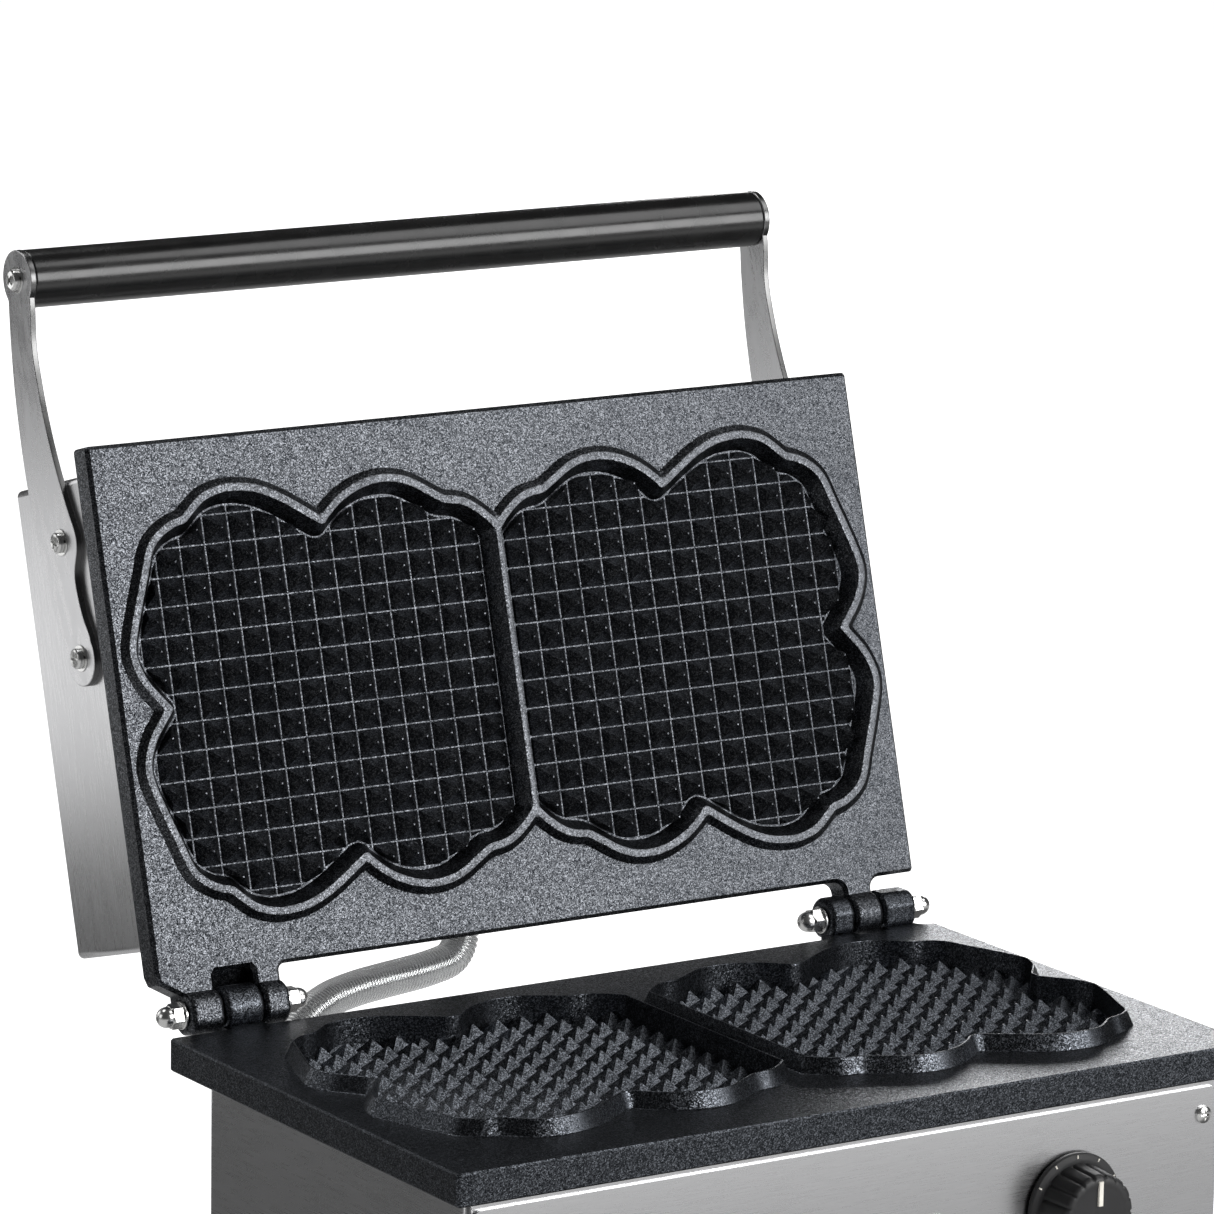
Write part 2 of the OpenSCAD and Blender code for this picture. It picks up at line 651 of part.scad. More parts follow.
module bottom_cover() color([0.7, 0.71, 0.72]) base_frame() {
    mid_y = (case_back + case_front) / 2;
    difference() {
        translate([0, mid_y, foot_h - sheet_t]) linear_extrude(sheet_t)
            rounded_rect(cover_w - 4, case_d - 4, cover_r);
        // rows of cooling slots
        for (x = [-90:20:90])
            for (y = [-30, 30])
                translate([x - 2, mid_y + y - 20, foot_h - 5]) cube([4, 40, 10]);
        for (x = [-foot_x, foot_x])
            for (y = foot_y)
                translate([x, y, foot_h - 5]) cylinder(r = 2.5 + slack, h = 10);
        for (p = bottom_screw_xy)
            translate([p[0], p[1], foot_h - 5]) cylinder(r = 2 + slack, h = 10);
    }
}

module bottom_cover_screws() color([0.8, 0.8, 0.8]) base_frame()
    for (p = bottom_screw_xy)
        translate([p[0], p[1], foot_h - sheet_t]) mirror([0, 0, 1]) pan_screw(2, 6, 3.8, 2.2);

module at_feet() base_frame()
    for (x = [-foot_x, foot_x])
        for (y = foot_y)
            translate([x, y, 0]) children();

module rubber_feet() color([0.08, 0.08, 0.08]) at_feet()
    difference() {
        rotate_extrude() polygon([[0, 0], [foot_r - 3, 0], [foot_r - 2, 1],
            [foot_r, foot_h - sheet_t], [0, foot_h - sheet_t]]);
        translate([0, 0, -1]) cylinder(r = 5, h = 7);
        translate([0, 0, -1]) cylinder(r = 2.5 + slack, h = foot_h + 2);
    }

module foot_screws() color([0.8, 0.8, 0.8]) at_feet()
    translate([0, 0, 6]) mirror([0, 0, 1]) pan_screw(2.5, foot_h - 1, 4.4, 2.6);

module base_heating_element() color([0.35, 0.33, 0.32]) base_frame()
    translate([0, case_mid, case_top - element_r - element_gap]) heater(cold_end_l);
module base_element_clamps() color([0.7, 0.7, 0.7]) base_frame()
    translate([0, case_mid, case_top]) element_clamps();
module base_heat_shield() color([0.8, 0.8, 0.8]) base_frame()
    translate([0, case_mid, case_top - base_shield_drop]) heat_shield();
module base_insulation() color([0.9, 0.89, 0.85]) base_frame()
    translate([0, case_mid, case_top - base_shield_drop - wool_t]) insulation(wool_t);
module base_terminal_block() color([0.92, 0.9, 0.86]) base_frame()
    translate([60, case_back - 60, foot_h]) terminal_block();

module base_conduit_fitting() color([0.8, 0.81, 0.82]) base_frame()
    translate([base_fitting_x, case_back, base_fitting_z]) rotate([-90, 0, 0])
        conduit_fitting(base_fitting_l);

// The gland that the mains cord would enter by: a nut, a body and a dome, with a through bore
module cord_gland() color([0.1, 0.1, 0.1]) base_frame()
    translate([cord_gland_x, case_back, cord_gland_z]) rotate([-90, 0, 0])
        difference() {
            union() {
                cylinder(r = 11, h = 6, $fn = 6);
                translate([0, 0, 6 - eps]) cylinder(r = 9.5, h = 9);
                translate([0, 0, 15 - 2 * eps]) cylinder(r1 = 9.5, r2 = 7, h = 4);
                translate([0, 0, -sheet_t - eps]) cylinder(r = cord_gland_r, h = sheet_t + 2 * eps);
                translate([0, 0, -sheet_t - 5]) cylinder(r = 11, h = 5, $fn = 6);
            }
            translate([0, 0, -20]) cylinder(r = cord_bore_r, h = 50);
        }

// A control behind the panel: its case, and the threaded bush that passes through the panel
module control_body(x, w, h, d) {
    bush_l = panel_t + 3;
    gap = 2;
    difference() {
        union() {
            translate([x - w / 2, case_front + sheet_t + gap, control_z - h / 2]) cube([w, d, h]);
            translate([x, case_front + sheet_t + gap + eps, control_z]) rotate([90, 0, 0])
                cylinder(r = panel_bush_r, h = sheet_t + gap + bush_l - 0.5);
        }
        translate([x, case_front + sheet_t + gap + 12, control_z]) rotate([90, 0, 0])
            cylinder(r = shaft_r + run_fit, h = 40);
    }
}

// A shaft that turns in a control's bush and carries a knob
module control_shaft(x)
    translate([x, case_front + sheet_t + 12, control_z]) rotate([90, 0, 0])
        cylinder(r = shaft_r, h = sheet_t + 12 + panel_t + knob_gap + 12);

// A round knob with a skirt, a fluted grip and a raised pointer
module control_knob(x)
    translate([x, panel_face - knob_gap, control_z]) rotate([90, 0, 0])
        difference() {
            union() {
                cylinder(r = knob_skirt_r, h = 3);
                cylinder(r = knob_r, h = 3 + knob_h);
                translate([-1.2, 4, 2 + knob_h]) cube([2.4, knob_r - 8, 2]);
            }
            for (a = [0:20:340])
                rotate(a + 10) translate([knob_r + 1.2, 0, 3.6]) cylinder(r = 2.4, h = knob_h);
            translate([0, 0, -1]) cylinder(r = shaft_r + slack / 5, h = 13.5);
            translate([0, 0, -1]) cylinder(r = panel_bush_r + 2, h = 4);
        }

module thermostat() color([0.3, 0.3, 0.3]) base_frame() control_body(thermostat_x, 44, 34, 30);
module thermostat_shaft() color([0.75, 0.75, 0.75]) base_frame() control_shaft(thermostat_x);
module thermostat_knob() color([0.06, 0.06, 0.06]) base_frame() control_knob(thermostat_x);
module timer() color([0.85, 0.83, 0.78]) base_frame() control_body(timer_x, 50, 34, 34);
module timer_shaft() color([0.75, 0.75, 0.75]) base_frame() control_shaft(timer_x);
module timer_knob() color([0.06, 0.06, 0.06]) base_frame() control_knob(timer_x);

module power_switch_housing() color([0.05, 0.05, 0.05]) base_frame()
    translate([0, panel_face, control_z]) rotate([90, 0, 0]) {
        w = rocker_size[0];
        h = rocker_size[1];
        difference() {
            union() {
                translate([-w / 2 - 4, -h / 2 - 4, 0]) cube([w + 8, h + 8, 2]);
                translate([-w / 2 - 2, -h / 2 - 2, -20]) cube([w + 4, h + 4, 20 + eps]);
            }
            translate([-w / 2, -h / 2, -12]) cube([w, h, 20]);
            rod_x(rocker_pin_r + run_fit, -w / 2 - rocker_pin_l - slack, w / 2 + rocker_pin_l + slack);
        }
    }

// The rocker tilts on its two side pins and rests with its lower end pressed in
module power_switch_rocker() color([0.6, 0.06, 0.05]) base_frame()
    translate([0, panel_face, control_z]) rotate([90 - rocker_tilt, 0, 0]) {
        w = rocker_size[0] - 1.2;
        translate([-w / 2, 0, 0]) rotate([90, 0, 90]) linear_extrude(w)
            polygon([[-5.2, -3], [5.2, -3], [5.2, 2.2], [0, 1.5], [-5.2, 2.2]]);
        rod_x(rocker_pin_r, -w / 2 - rocker_pin_l, w / 2 + rocker_pin_l);
    }

// A lamp with a domed lens on the panel and a body behind it
module lamp(x)
    translate([x, panel_face, control_z]) rotate([90, 0, 0]) {
        translate([0, 0, -16]) cylinder(r = lamp_r, h = 16 + eps);
        cylinder(r = lamp_r + 1.5, h = 1.5);
        intersection() {
            cylinder(r = lamp_r, h = 6);
            translate([0, 0, -2]) sphere(7);
        }
    }
module heating_lamp() color([0.9, 0.45, 0.05]) base_frame() lamp(-lamp_x);
module power_lamp() color([0.1, 0.6, 0.15]) base_frame() lamp(lamp_x);

// ---------- conduit ----------

function unit(v) = v / norm(v);
function tangent(p, i) = unit(p[min(i + 1, len(p) - 1)] - p[max(i - 1, 0)]);

// A round tube swept along a list of points
module swept_tube(p, r, sides = 10) {
    rings = [for (i = [0:len(p) - 1])
        let (t = tangent(p, i), a = unit(cross(t, [0, 0.3, 1])), b = cross(t, a))
            for (k = [0:sides - 1])
                p[i] + r * (cos(360 * k / sides) * a + sin(360 * k / sides) * b)];
    last = len(p) - 1;
    polyhedron(rings, concat(
        [[for (k = [0:sides - 1]) k]],
        [for (i = [0:last - 1]) for (k = [0:sides - 1])
            [i * sides + k, (i + 1) * sides + k, (i + 1) * sides + (k + 1) % sides,
                i * sides + (k + 1) % sides]],
        [[for (k = [sides - 1:-1:0]) last * sides + k]]), convexity = 6);
}

module lid_conduit() color([0.8, 0.82, 0.83])
    translate([0, hinge_y, hinge_z]) swept_tube(conduit_path, conduit_r);

lid_plate();
lid_cover();
lid_cover_screws();
lid_heating_element();
lid_element_clamps();
lid_heat_shield();
lid_insulation();
lid_terminal_block();
lid_conduit_fitting();
left_arm();
right_arm();
handle_grip();
handle_core();
handle_screws();
arm_screws();
arm_washers();
arm_nuts();
left_hinge_pin();
right_hinge_pin();
hinge_nuts();
hinge_washers();
base_plate();
base_plate_spacers();
base_casing();
front_panel();
front_panel_screws();
bottom_cover();
bottom_cover_screws();
rubber_feet();
foot_screws();
base_heating_element();
base_element_clamps();
base_heat_shield();
base_insulation();
base_terminal_block();
base_conduit_fitting();
cord_gland();
thermostat();
thermostat_shaft();
thermostat_knob();
timer();
timer_shaft();
timer_knob();
power_switch_housing();
power_switch_rocker();
heating_lamp();
power_lamp();
lid_conduit();
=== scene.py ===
"""A commercial double waffle iron with its lid open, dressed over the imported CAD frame."""

import math

import bmesh
import bpy
import numpy as np
from mathutils import Matrix, Vector
from mathutils.geometry import delaunay_2d_cdt


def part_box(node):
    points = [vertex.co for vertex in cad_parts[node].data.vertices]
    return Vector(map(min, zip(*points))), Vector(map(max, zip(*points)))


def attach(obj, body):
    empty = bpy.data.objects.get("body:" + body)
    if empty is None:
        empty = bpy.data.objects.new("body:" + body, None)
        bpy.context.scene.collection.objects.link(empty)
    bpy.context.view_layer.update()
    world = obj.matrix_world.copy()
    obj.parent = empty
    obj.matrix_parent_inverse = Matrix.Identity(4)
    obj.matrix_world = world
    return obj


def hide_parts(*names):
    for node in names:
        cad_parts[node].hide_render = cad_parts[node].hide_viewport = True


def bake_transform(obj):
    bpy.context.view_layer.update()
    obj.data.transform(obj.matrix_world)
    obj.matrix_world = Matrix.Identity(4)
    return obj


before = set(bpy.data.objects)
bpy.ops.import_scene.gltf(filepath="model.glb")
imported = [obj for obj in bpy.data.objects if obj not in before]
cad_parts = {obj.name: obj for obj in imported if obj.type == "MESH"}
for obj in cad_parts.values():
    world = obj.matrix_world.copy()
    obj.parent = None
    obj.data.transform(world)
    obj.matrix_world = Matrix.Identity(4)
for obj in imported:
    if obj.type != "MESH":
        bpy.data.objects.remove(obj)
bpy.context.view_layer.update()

MM = 0.001
OPEN_TILT = 16  # degrees past upright at which the lid rests
LID_TURN = 90 - OPEN_TILT  # degrees from the lid lying flat, cooking face up, to its rest

pin_low, pin_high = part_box("left_hinge_pin")
hinge = (pin_low + pin_high) / 2
hinge.x = 0

# Millimetre frames with their origin on the hinge and x along it: the base's has y backwards and
# z up, the lid's has y from the hinge along the plate and z out of the cooking face
MILLIMETRES = Matrix.Diagonal((MM, MM, MM, 1))
BASE = Matrix.Translation(hinge) @ MILLIMETRES
LID = Matrix.Translation(hinge) @ Matrix.Rotation(math.radians(LID_TURN), 4, "X") @ MILLIMETRES


# ---------- camera ----------


def make_camera():
    """The photograph's view: from the front left, a little above the lid's middle, with a long lens."""
    position = Vector((-1.6197, -2.4738, 0.9260))
    aim = Vector((0.0367, 0.0714, 0.2868))
    roll = math.radians(0.917)
    ahead = (aim - position).normalized()
    right = ahead.cross(Vector((0, 0, 1))).normalized()
    up = right.cross(ahead)
    across = right * math.cos(roll) + up * math.sin(roll)
    upward = up * math.cos(roll) - right * math.sin(roll)
    data = bpy.data.cameras.new("camera")
    data.lens = 205.95
    data.sensor_width = 36
    data.clip_end = 100
    camera = bpy.data.objects.new("camera", data)
    axes = Matrix((across, upward, -ahead)).transposed().to_4x4()
    camera.matrix_world = Matrix.Translation(position) @ axes
    bpy.context.scene.collection.objects.link(camera)
    bpy.context.scene.camera = camera


# ---------- material nodes ----------


def shaded(tone, share):
    """A tone with each of its channels multiplied by a share."""
    return tuple(share * c for c in tone)


class Finish:
    """A principled material whose textures are laid in object space, in metres."""

    def __init__(self, name, colour, metallic=0.0, roughness=0.5, coat=0.0):
        self.material = bpy.data.materials.new(name)
        self.material.use_nodes = True
        self.tree = self.material.node_tree
        self.shader = self.tree.nodes["Principled BSDF"]
        self.shader.inputs["Base Color"].default_value = (*colour, 1)
        self.shader.inputs["Metallic"].default_value = metallic
        self.shader.inputs["Roughness"].default_value = roughness
        self.shader.inputs["Coat Weight"].default_value = coat
        self.shader.inputs["Coat Roughness"].default_value = 0.12
        self.normal = None

    def node(self, kind, **settings):
        made = self.tree.nodes.new(kind)
        for key, value in settings.items():
            setattr(made, key, value)
        return made

    def link(self, output, node, key):
        self.tree.links.new(output, node.inputs[key])

    def place(self, stretch=(1, 1, 1), turn=0.0):
        """Object coordinates, turned about x by some degrees and then stretched."""
        coordinates = self.node("ShaderNodeTexCoord")
        mapping = self.node("ShaderNodeMapping", vector_type="TEXTURE")
        mapping.inputs["Rotation"].default_value = (math.radians(turn), 0, 0)
        mapping.inputs["Scale"].default_value = [1 / s for s in stretch]
        self.link(coordinates.outputs["Object"], mapping, "Vector")
        return mapping.outputs["Vector"]

    def noise(self, scale, detail=2.0, stretch=(1, 1, 1), turn=0.0, roughness=0.5):
        made = self.node("ShaderNodeTexNoise")
        made.inputs["Scale"].default_value = scale
        made.inputs["Detail"].default_value = detail
        made.inputs["Roughness"].default_value = roughness
        self.link(self.place(stretch, turn), made, "Vector")
        return made.outputs["Fac"]

    def ramp(self, value, stops):
        """Maps a grey value through (position, colour or grey) stops."""
        made = self.node("ShaderNodeValToRGB")
        elements = made.color_ramp.elements
        while len(elements) < len(stops):
            elements.new(0.5)
        for element, (position, tone) in zip(elements, stops):
            element.position = position
            element.color = (*tone, 1) if isinstance(tone, tuple) else (tone, tone, tone, 1)
        self.link(value, made, "Fac")
        return made.outputs["Color"]

    def mix(self, factor, first, second):
        """Blends two colours, each an output or a constant, by a grey output or a number."""
        made = self.node("ShaderNodeMix", data_type="RGBA")
        for key, value in ((0, factor), (6, first), (7, second)):
            if isinstance(value, (int, float)):
                made.inputs[key].default_value = value
            elif isinstance(value, tuple):
                made.inputs[key].default_value = (*value, 1)
            else:
                self.tree.links.new(value, made.inputs[key])
        return made.outputs[2]

    def colour(self, output):
        self.link(output, self.shader, "Base Color")
        return self

    def rough(self, output):
        self.link(output, self.shader, "Roughness")
        return self

    def bump(self, height, distance_mm, strength):
        """Adds relief to what relief there is; distance is the height's full range."""
        made = self.node("ShaderNodeBump")
        made.inputs["Distance"].default_value = distance_mm * MM
        made.inputs["Strength"].default_value = strength
        self.link(height, made, "Height")
        if self.normal is not None:
            self.link(self.normal, made, "Normal")
        self.normal = made.outputs["Normal"]
        self.link(self.normal, self.shader, "Normal")
        return self

    def lid_height(self, crest):
        """Grey that is 1 at a height in millimetres in front of the hinge, in the lid's own frame."""
        coordinates = self.node("ShaderNodeTexCoord")
        mapping = self.node("ShaderNodeMapping", vector_type="TEXTURE")
        mapping.inputs["Location"].default_value = hinge
        mapping.inputs["Rotation"].default_value = (math.radians(LID_TURN), 0, 0)
        self.link(coordinates.outputs["Object"], mapping, "Vector")
        split = self.node("ShaderNodeSeparateXYZ")
        self.link(mapping.outputs["Vector"], split, "Vector")
        span = self.node("ShaderNodeMapRange")
        span.inputs["From Min"].default_value = (crest - 0.5) * MM
        span.inputs["From Max"].default_value = (crest + 0.5) * MM
        self.link(split.outputs["Z"], span, "Value")
        return self.ramp(span.outputs["Result"], [(0.1, 0.0), (0.4, 1.0), (0.6, 1.0), (0.9, 0.0)])

    def facing_x(self):
        """Grey that is 1 where the surface faces along x, either way, and 0 where it faces across it."""
        coordinates = self.node("ShaderNodeTexCoord")
        split = self.node("ShaderNodeSeparateXYZ")
        self.link(coordinates.outputs["Normal"], split, "Vector")
        size = self.node("ShaderNodeMath", operation="ABSOLUTE")
        self.link(split.outputs["X"], size, 0)
        return self.ramp(size.outputs["Value"], [(0.3, 0.0), (0.8, 1.0)])

    def scatter(self, random_colour, amount):
        """Tilts the surface by a random vector, one for each grain of a texture."""
        centred = self.node("ShaderNodeVectorMath", operation="SUBTRACT")
        centred.inputs[1].default_value = (0.5, 0.5, 0.5)
        self.link(random_colour, centred, 0)
        tilt = self.node("ShaderNodeVectorMath", operation="SCALE")
        tilt.inputs["Scale"].default_value = amount
        self.link(centred.outputs["Vector"], tilt, 0)
        tilted = self.node("ShaderNodeVectorMath", operation="ADD")
        self.link(self.normal, tilted, 0)
        self.link(tilt.outputs["Vector"], tilted, 1)
        unit = self.node("ShaderNodeVectorMath", operation="NORMALIZE")
        self.link(tilted.outputs["Vector"], unit, 0)
        self.normal = unit.outputs["Vector"]
        self.link(self.normal, self.shader, "Normal")


FLAKES_PER_M = 2200
FLAKE_TILT = 0.24


def cast_coating(name, dull, glint, roughness, crest=None):
    """A baked coating on a casting, nearly black with fine metal flakes tilted every way.

    At the height of a crest in the lid's frame, if there is one, the coating is painted brighter: a painted
    highlight along the ridge's crest.
    """
    finish = Finish(name, dull, metallic=1.0, roughness=roughness)
    grains = finish.node("ShaderNodeTexVoronoi", feature="F1")
    grains.inputs["Scale"].default_value = FLAKES_PER_M
    finish.link(finish.place(), grains, "Vector")
    split = finish.node("ShaderNodeSeparateColor")
    finish.link(grains.outputs["Color"], split, "Color")

    def speckle(low, middle, high):
        return finish.ramp(split.outputs["Red"], [(0.1, low), (0.7, middle), (0.95, high)])

    tone = speckle(dull, glint, shaded(glint, 2.6))
    if crest:
        # painted highlight: the flakes are painted brighter in a band along the ridge's crest
        crest_highlight = speckle(shaded(glint, 0.5), shaded(glint, 1.3), shaded(glint, 2.8))
        tone = finish.mix(finish.lid_height(crest), tone, crest_highlight)
    patches = finish.ramp(finish.noise(35, 4), [(0.3, 0.0), (0.75, 0.25)])
    finish.colour(finish.mix(patches, tone, dull))
    finish.rough(finish.ramp(finish.noise(700, 3), [(0.3, roughness - 0.05), (0.7, roughness + 0.08)]))
    finish.bump(finish.noise(700, 2), 0.08, 0.5)
    finish.scatter(grains.outputs["Color"], FLAKE_TILT)
    return finish.material


def brushed_steel(name, tone, roughness, stretch, turn=0.0, depth=0.01, painted_edge_shade=None):
    """Stainless sheet with a fine grain; a stretch above 1 makes it finer along that axis.

    Where it doesn't face along x, it may be painted a much darker tone: painted shade on the sheet's edges.
    """
    finish = Finish(name, tone, metallic=1.0)
    grain = finish.noise(60, 5, stretch=stretch, turn=turn, roughness=0.7)
    smudge = finish.noise(12, 3)
    streak = finish.ramp(grain, [(0.25, shaded(tone, 0.91)), (0.75, tone)])
    # painted shade: faces that don't face along x, the sheet's edges, are painted dark
    if painted_edge_shade:
        streak = finish.mix(finish.facing_x(), painted_edge_shade, streak)
    finish.colour(streak)
    worn = finish.mix(
        finish.ramp(smudge, [(0.35, 0.0), (0.7, 0.2)]),
        finish.ramp(grain, [(0.2, roughness - 0.07), (0.8, roughness + 0.09)]),
        (roughness + 0.12,) * 3,
    )
    finish.rough(worn)
    finish.bump(grain, depth, 0.6)
    return finish.material


def plain_metal(name, tone, roughness, depth=0.01, metallic=1.0, shade=0.84):
    """Plated or bare metal of small parts, with faint patches down to a shade of its tone."""
    finish = Finish(name, tone, metallic=metallic)
    marks = finish.noise(900, 3)
    patches = finish.noise(90, 3)
    finish.colour(finish.ramp(patches, [(0.3, shaded(tone, shade)), (0.7, tone)]))
    finish.rough(finish.ramp(patches, [(0.3, max(roughness - 0.05, 0.03)), (0.75, roughness + 0.08)]))
    finish.bump(marks, depth, 0.5)
    return finish.material


def moulded(name, tone, roughness, grain_mm, depth, coat=0.0):
    """Moulded plastic or rubber with a fine surface grain and slight colour variation."""
    finish = Finish(name, tone, roughness=roughness, coat=coat)
    patches = finish.noise(60, 4)
    finish.colour(finish.ramp(patches, [(0.3, shaded(tone, 0.8)), (0.75, shaded(tone, 1.2))]))
    finish.rough(finish.ramp(patches, [(0.3, roughness - 0.05), (0.75, roughness + 0.06)]))
    finish.bump(finish.noise(1 / (grain_mm * MM), 2), depth, 0.6)
    return finish.material


def lens(name, tone):
    """A tinted, partly clear lamp lens."""
    finish = Finish(name, tone, roughness=0.12, coat=0.5)
    finish.shader.inputs["Transmission Weight"].default_value = 0.35
    finish.shader.inputs["IOR"].default_value = 1.49
    patches = finish.noise(250, 2)
    finish.colour(finish.ramp(patches, [(0.3, shaded(tone, 0.75)), (0.7, tone)]))
    finish.rough(finish.ramp(patches, [(0.3, 0.08), (0.7, 0.2)]))
    finish.bump(finish.noise(500, 1), 0.08, 0.5)
    return finish.material


def fibre_mat(name, tone):
    """Ceramic wool: a pale felt of loose fibres."""
    finish = Finish(name, tone, roughness=0.95)
    strands = finish.noise(500, 6, stretch=(1, 1, 6), roughness=0.75)
    finish.colour(finish.ramp(strands, [(0.3, shaded(tone, 0.72)), (0.7, tone)]))
    finish.rough(finish.ramp(strands, [(0.3, 0.9), (0.7, 1.0)]))
    finish.bump(strands, 0.6, 0.9)
    return finish.material


def heater_steel(name):
    """A heater's sheath, straw and blue from the heat."""
    grey, straw, blue = (0.16, 0.15, 0.16), (0.30, 0.25, 0.20), (0.22, 0.23, 0.28)
    finish = Finish(name, straw, metallic=0.85)
    finish.colour(finish.ramp(finish.noise(14, 3), [(0.3, grey), (0.5, straw), (0.75, blue)]))
    finish.rough(finish.ramp(finish.noise(300, 4), [(0.3, 0.42), (0.7, 0.62)]))
    finish.bump(finish.noise(700, 3), 0.04, 0.6)
    return finish.material


RIDGE_CREST = 5.3  # height of the lid's ridge in the lid's frame

CAST_LID = cast_coating("lid_nonstick", (0.014, 0.016, 0.019), (0.085, 0.089, 0.097), 0.36,
                        crest=RIDGE_CREST)
CAST_BASE = cast_coating("base_nonstick", (0.016, 0.018, 0.021), (0.084, 0.090, 0.101), 0.36)
SHEET = brushed_steel("stainless", (0.70, 0.70, 0.71), 0.27, stretch=(30, 1, 30), turn=LID_TURN)
SHEET_BASE = brushed_steel("stainless_base", (0.74, 0.74, 0.75), 0.27, stretch=(1, 1, 30))
ARM_STEEL = brushed_steel("arm_steel", (0.66, 0.66, 0.67), 0.26, stretch=(1, 1, 4), turn=LID_TURN,
                          # the arms' edges get painted shade, a dark tone where the surface doesn't face
                          # along x
                          depth=0.001, painted_edge_shade=(0.16, 0.16, 0.16))
BRIGHT = plain_metal("bright_steel", (0.90, 0.90, 0.89), 0.24)
PLAIN = plain_metal("plain_steel", (0.62, 0.62, 0.61), 0.30)
CONDUIT = plain_metal("conduit_steel", (0.95, 0.96, 0.96), 0.20, depth=0.001, metallic=0.75, shade=0.95)
GLOSS_BLACK = moulded("black_gloss", (0.006, 0.006, 0.006), 0.26, 0.5, 0.004, coat=0.25)
MATTE_BLACK = moulded("black_matte", (0.018, 0.018, 0.019), 0.48, 0.35, 0.05)
RUBBER = moulded("rubber", (0.020, 0.020, 0.020), 0.72, 0.4, 0.08)
HEATER = heater_steel("heater_sheath")
WOOL = fibre_mat("ceramic_wool", (0.78, 0.76, 0.70))
CERAMIC = moulded("ceramic", (0.74, 0.71, 0.64), 0.35, 0.6, 0.05)
SWITCH_RED = moulded("switch_red", (0.42, 0.012, 0.010), 0.28, 0.5, 0.02, coat=0.4)
AMBER = lens("amber_lens", (0.85, 0.28, 0.02))
GREEN = lens("green_lens", (0.03, 0.42, 0.09))


# ---------- mesh building ----------


def dress(piece, material):
    """Gives a piece its material through the object's own slots."""
    if not piece.material_slots:
        piece.data.materials.append(material)
    for slot in piece.material_slots:
        slot.link = "OBJECT"
        slot.material = material


def add_piece(name, parts, place, body, material, replaces=(), crease=32):
    """One mesh object from several (points, faces) parts, in the millimetres of a placing matrix."""
    mesh = bmesh.new()
    for points, faces in parts:
        made = [mesh.verts.new(place @ Vector(p)) for p in points]
        for face in faces:
            if len(set(face)) > 2:
                mesh.faces.new([made[i] for i in face])
    bmesh.ops.remove_doubles(mesh, verts=mesh.verts, dist=2e-6)
    bmesh.ops.recalc_face_normals(mesh, faces=mesh.faces)
    data = bpy.data.meshes.new(name)
    mesh.to_mesh(data)
    mesh.free()
    data.shade_smooth()
    data.set_sharp_from_angle(angle=math.radians(crease))
    piece = bpy.data.objects.new(name, data)
    bpy.context.scene.collection.objects.link(piece)
    dress(piece, material)
    shading = piece.modifiers.new("shading", "WEIGHTED_NORMAL")
    shading.keep_sharp = True
    if body:
        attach(piece, body)
    if replaces:
        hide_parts(*replaces)
    return piece


def moved(part, matrix):
    """A part's points put through a matrix, with the same faces."""
    points, faces = part
    return [tuple(matrix @ Vector(p)) for p in points], faces


def strips(rings, closed_ends=(True, True)):
    """Skins rings of equal length into a tube, with a face over either end."""
    count = len(rings[0])
    points = [p for ring in rings for p in ring]
    faces = []
    for i in range(len(rings) - 1):
        for k in range(count):
            a = i * count + k
            b = i * count + (k + 1) % count
            faces.append((a, b, b + count, a + count))
    if closed_ends[0]:
        faces.append(tuple(range(count))[::-1])
    if closed_ends[1]:
        faces.append(tuple(range(len(points) - count, len(points))))
    return points, faces


def turned(profile, sides=48, closed_ends=(True, True), radius=None):
    """Revolves (height, radius) pairs about z; radius(angle, r, height) may shape each ring."""
    rings = []
    for height, r in profile:
        ring = []
        for k in range(sides):
            angle = 2 * math.pi * k / sides
            reach = radius(angle, r, height) if radius else r
            ring.append((reach * math.cos(angle), reach * math.sin(angle), height))
        rings.append(ring)
    return strips(rings, closed_ends)


def inset(loop, distance):
    """A closed outline (counter-clockwise) moved inwards by a distance, corners mitred."""
    points = np.array(loop, float)
    before = points - np.roll(points, 1, 0)
    after = np.roll(points, -1, 0) - points
    before /= np.linalg.norm(before, axis=1)[:, None]
    after /= np.linalg.norm(after, axis=1)[:, None]
    normal = np.stack([-(before + after)[:, 1], (before + after)[:, 0]], 1)
    normal /= np.linalg.norm(normal, axis=1)[:, None]
    lean = np.stack([-after[:, 1], after[:, 0]], 1)
    mitre = np.clip((normal * lean).sum(1), 0.4, 1)
    return points + normal * (distance / mitre)[:, None]


def counter_clockwise(loop):
    """The closed outline, turned round if it runs clockwise."""
    area = sum(a[0] * b[1] - b[0] * a[1] for a, b in zip(loop, loop[1:] + loop[:1]))
    return loop if area > 0 else loop[::-1]


def slab(loop, low, high, edge, steps=3, top=True):
    """An outline extruded from low to high, its edges rounded to a radius."""
    loop = counter_clockwise([tuple(p) for p in loop])
    rings = []
    for k in range(steps + 1):
        angle = math.pi / 2 * k / steps
        ring = inset(loop, edge * (1 - math.sin(angle)))
        rings.append([(x, y, low + edge * (1 - math.cos(angle))) for x, y in ring])
    for k in range(steps + 1):
        angle = math.pi / 2 * k / steps
        ring = inset(loop, edge * (1 - math.cos(angle)))
        rings.append([(x, y, high - edge * (1 - math.sin(angle))) for x, y in ring])
    return strips(rings, (True, top))


def arc(centre, r, start, end, steps=6):
    """Points along an arc, angles in degrees."""
    angles = [math.radians(start + (end - start) * k / steps) for k in range(steps + 1)]
    return [(centre[0] + r * math.cos(a), centre[1] + r * math.sin(a)) for a in angles]


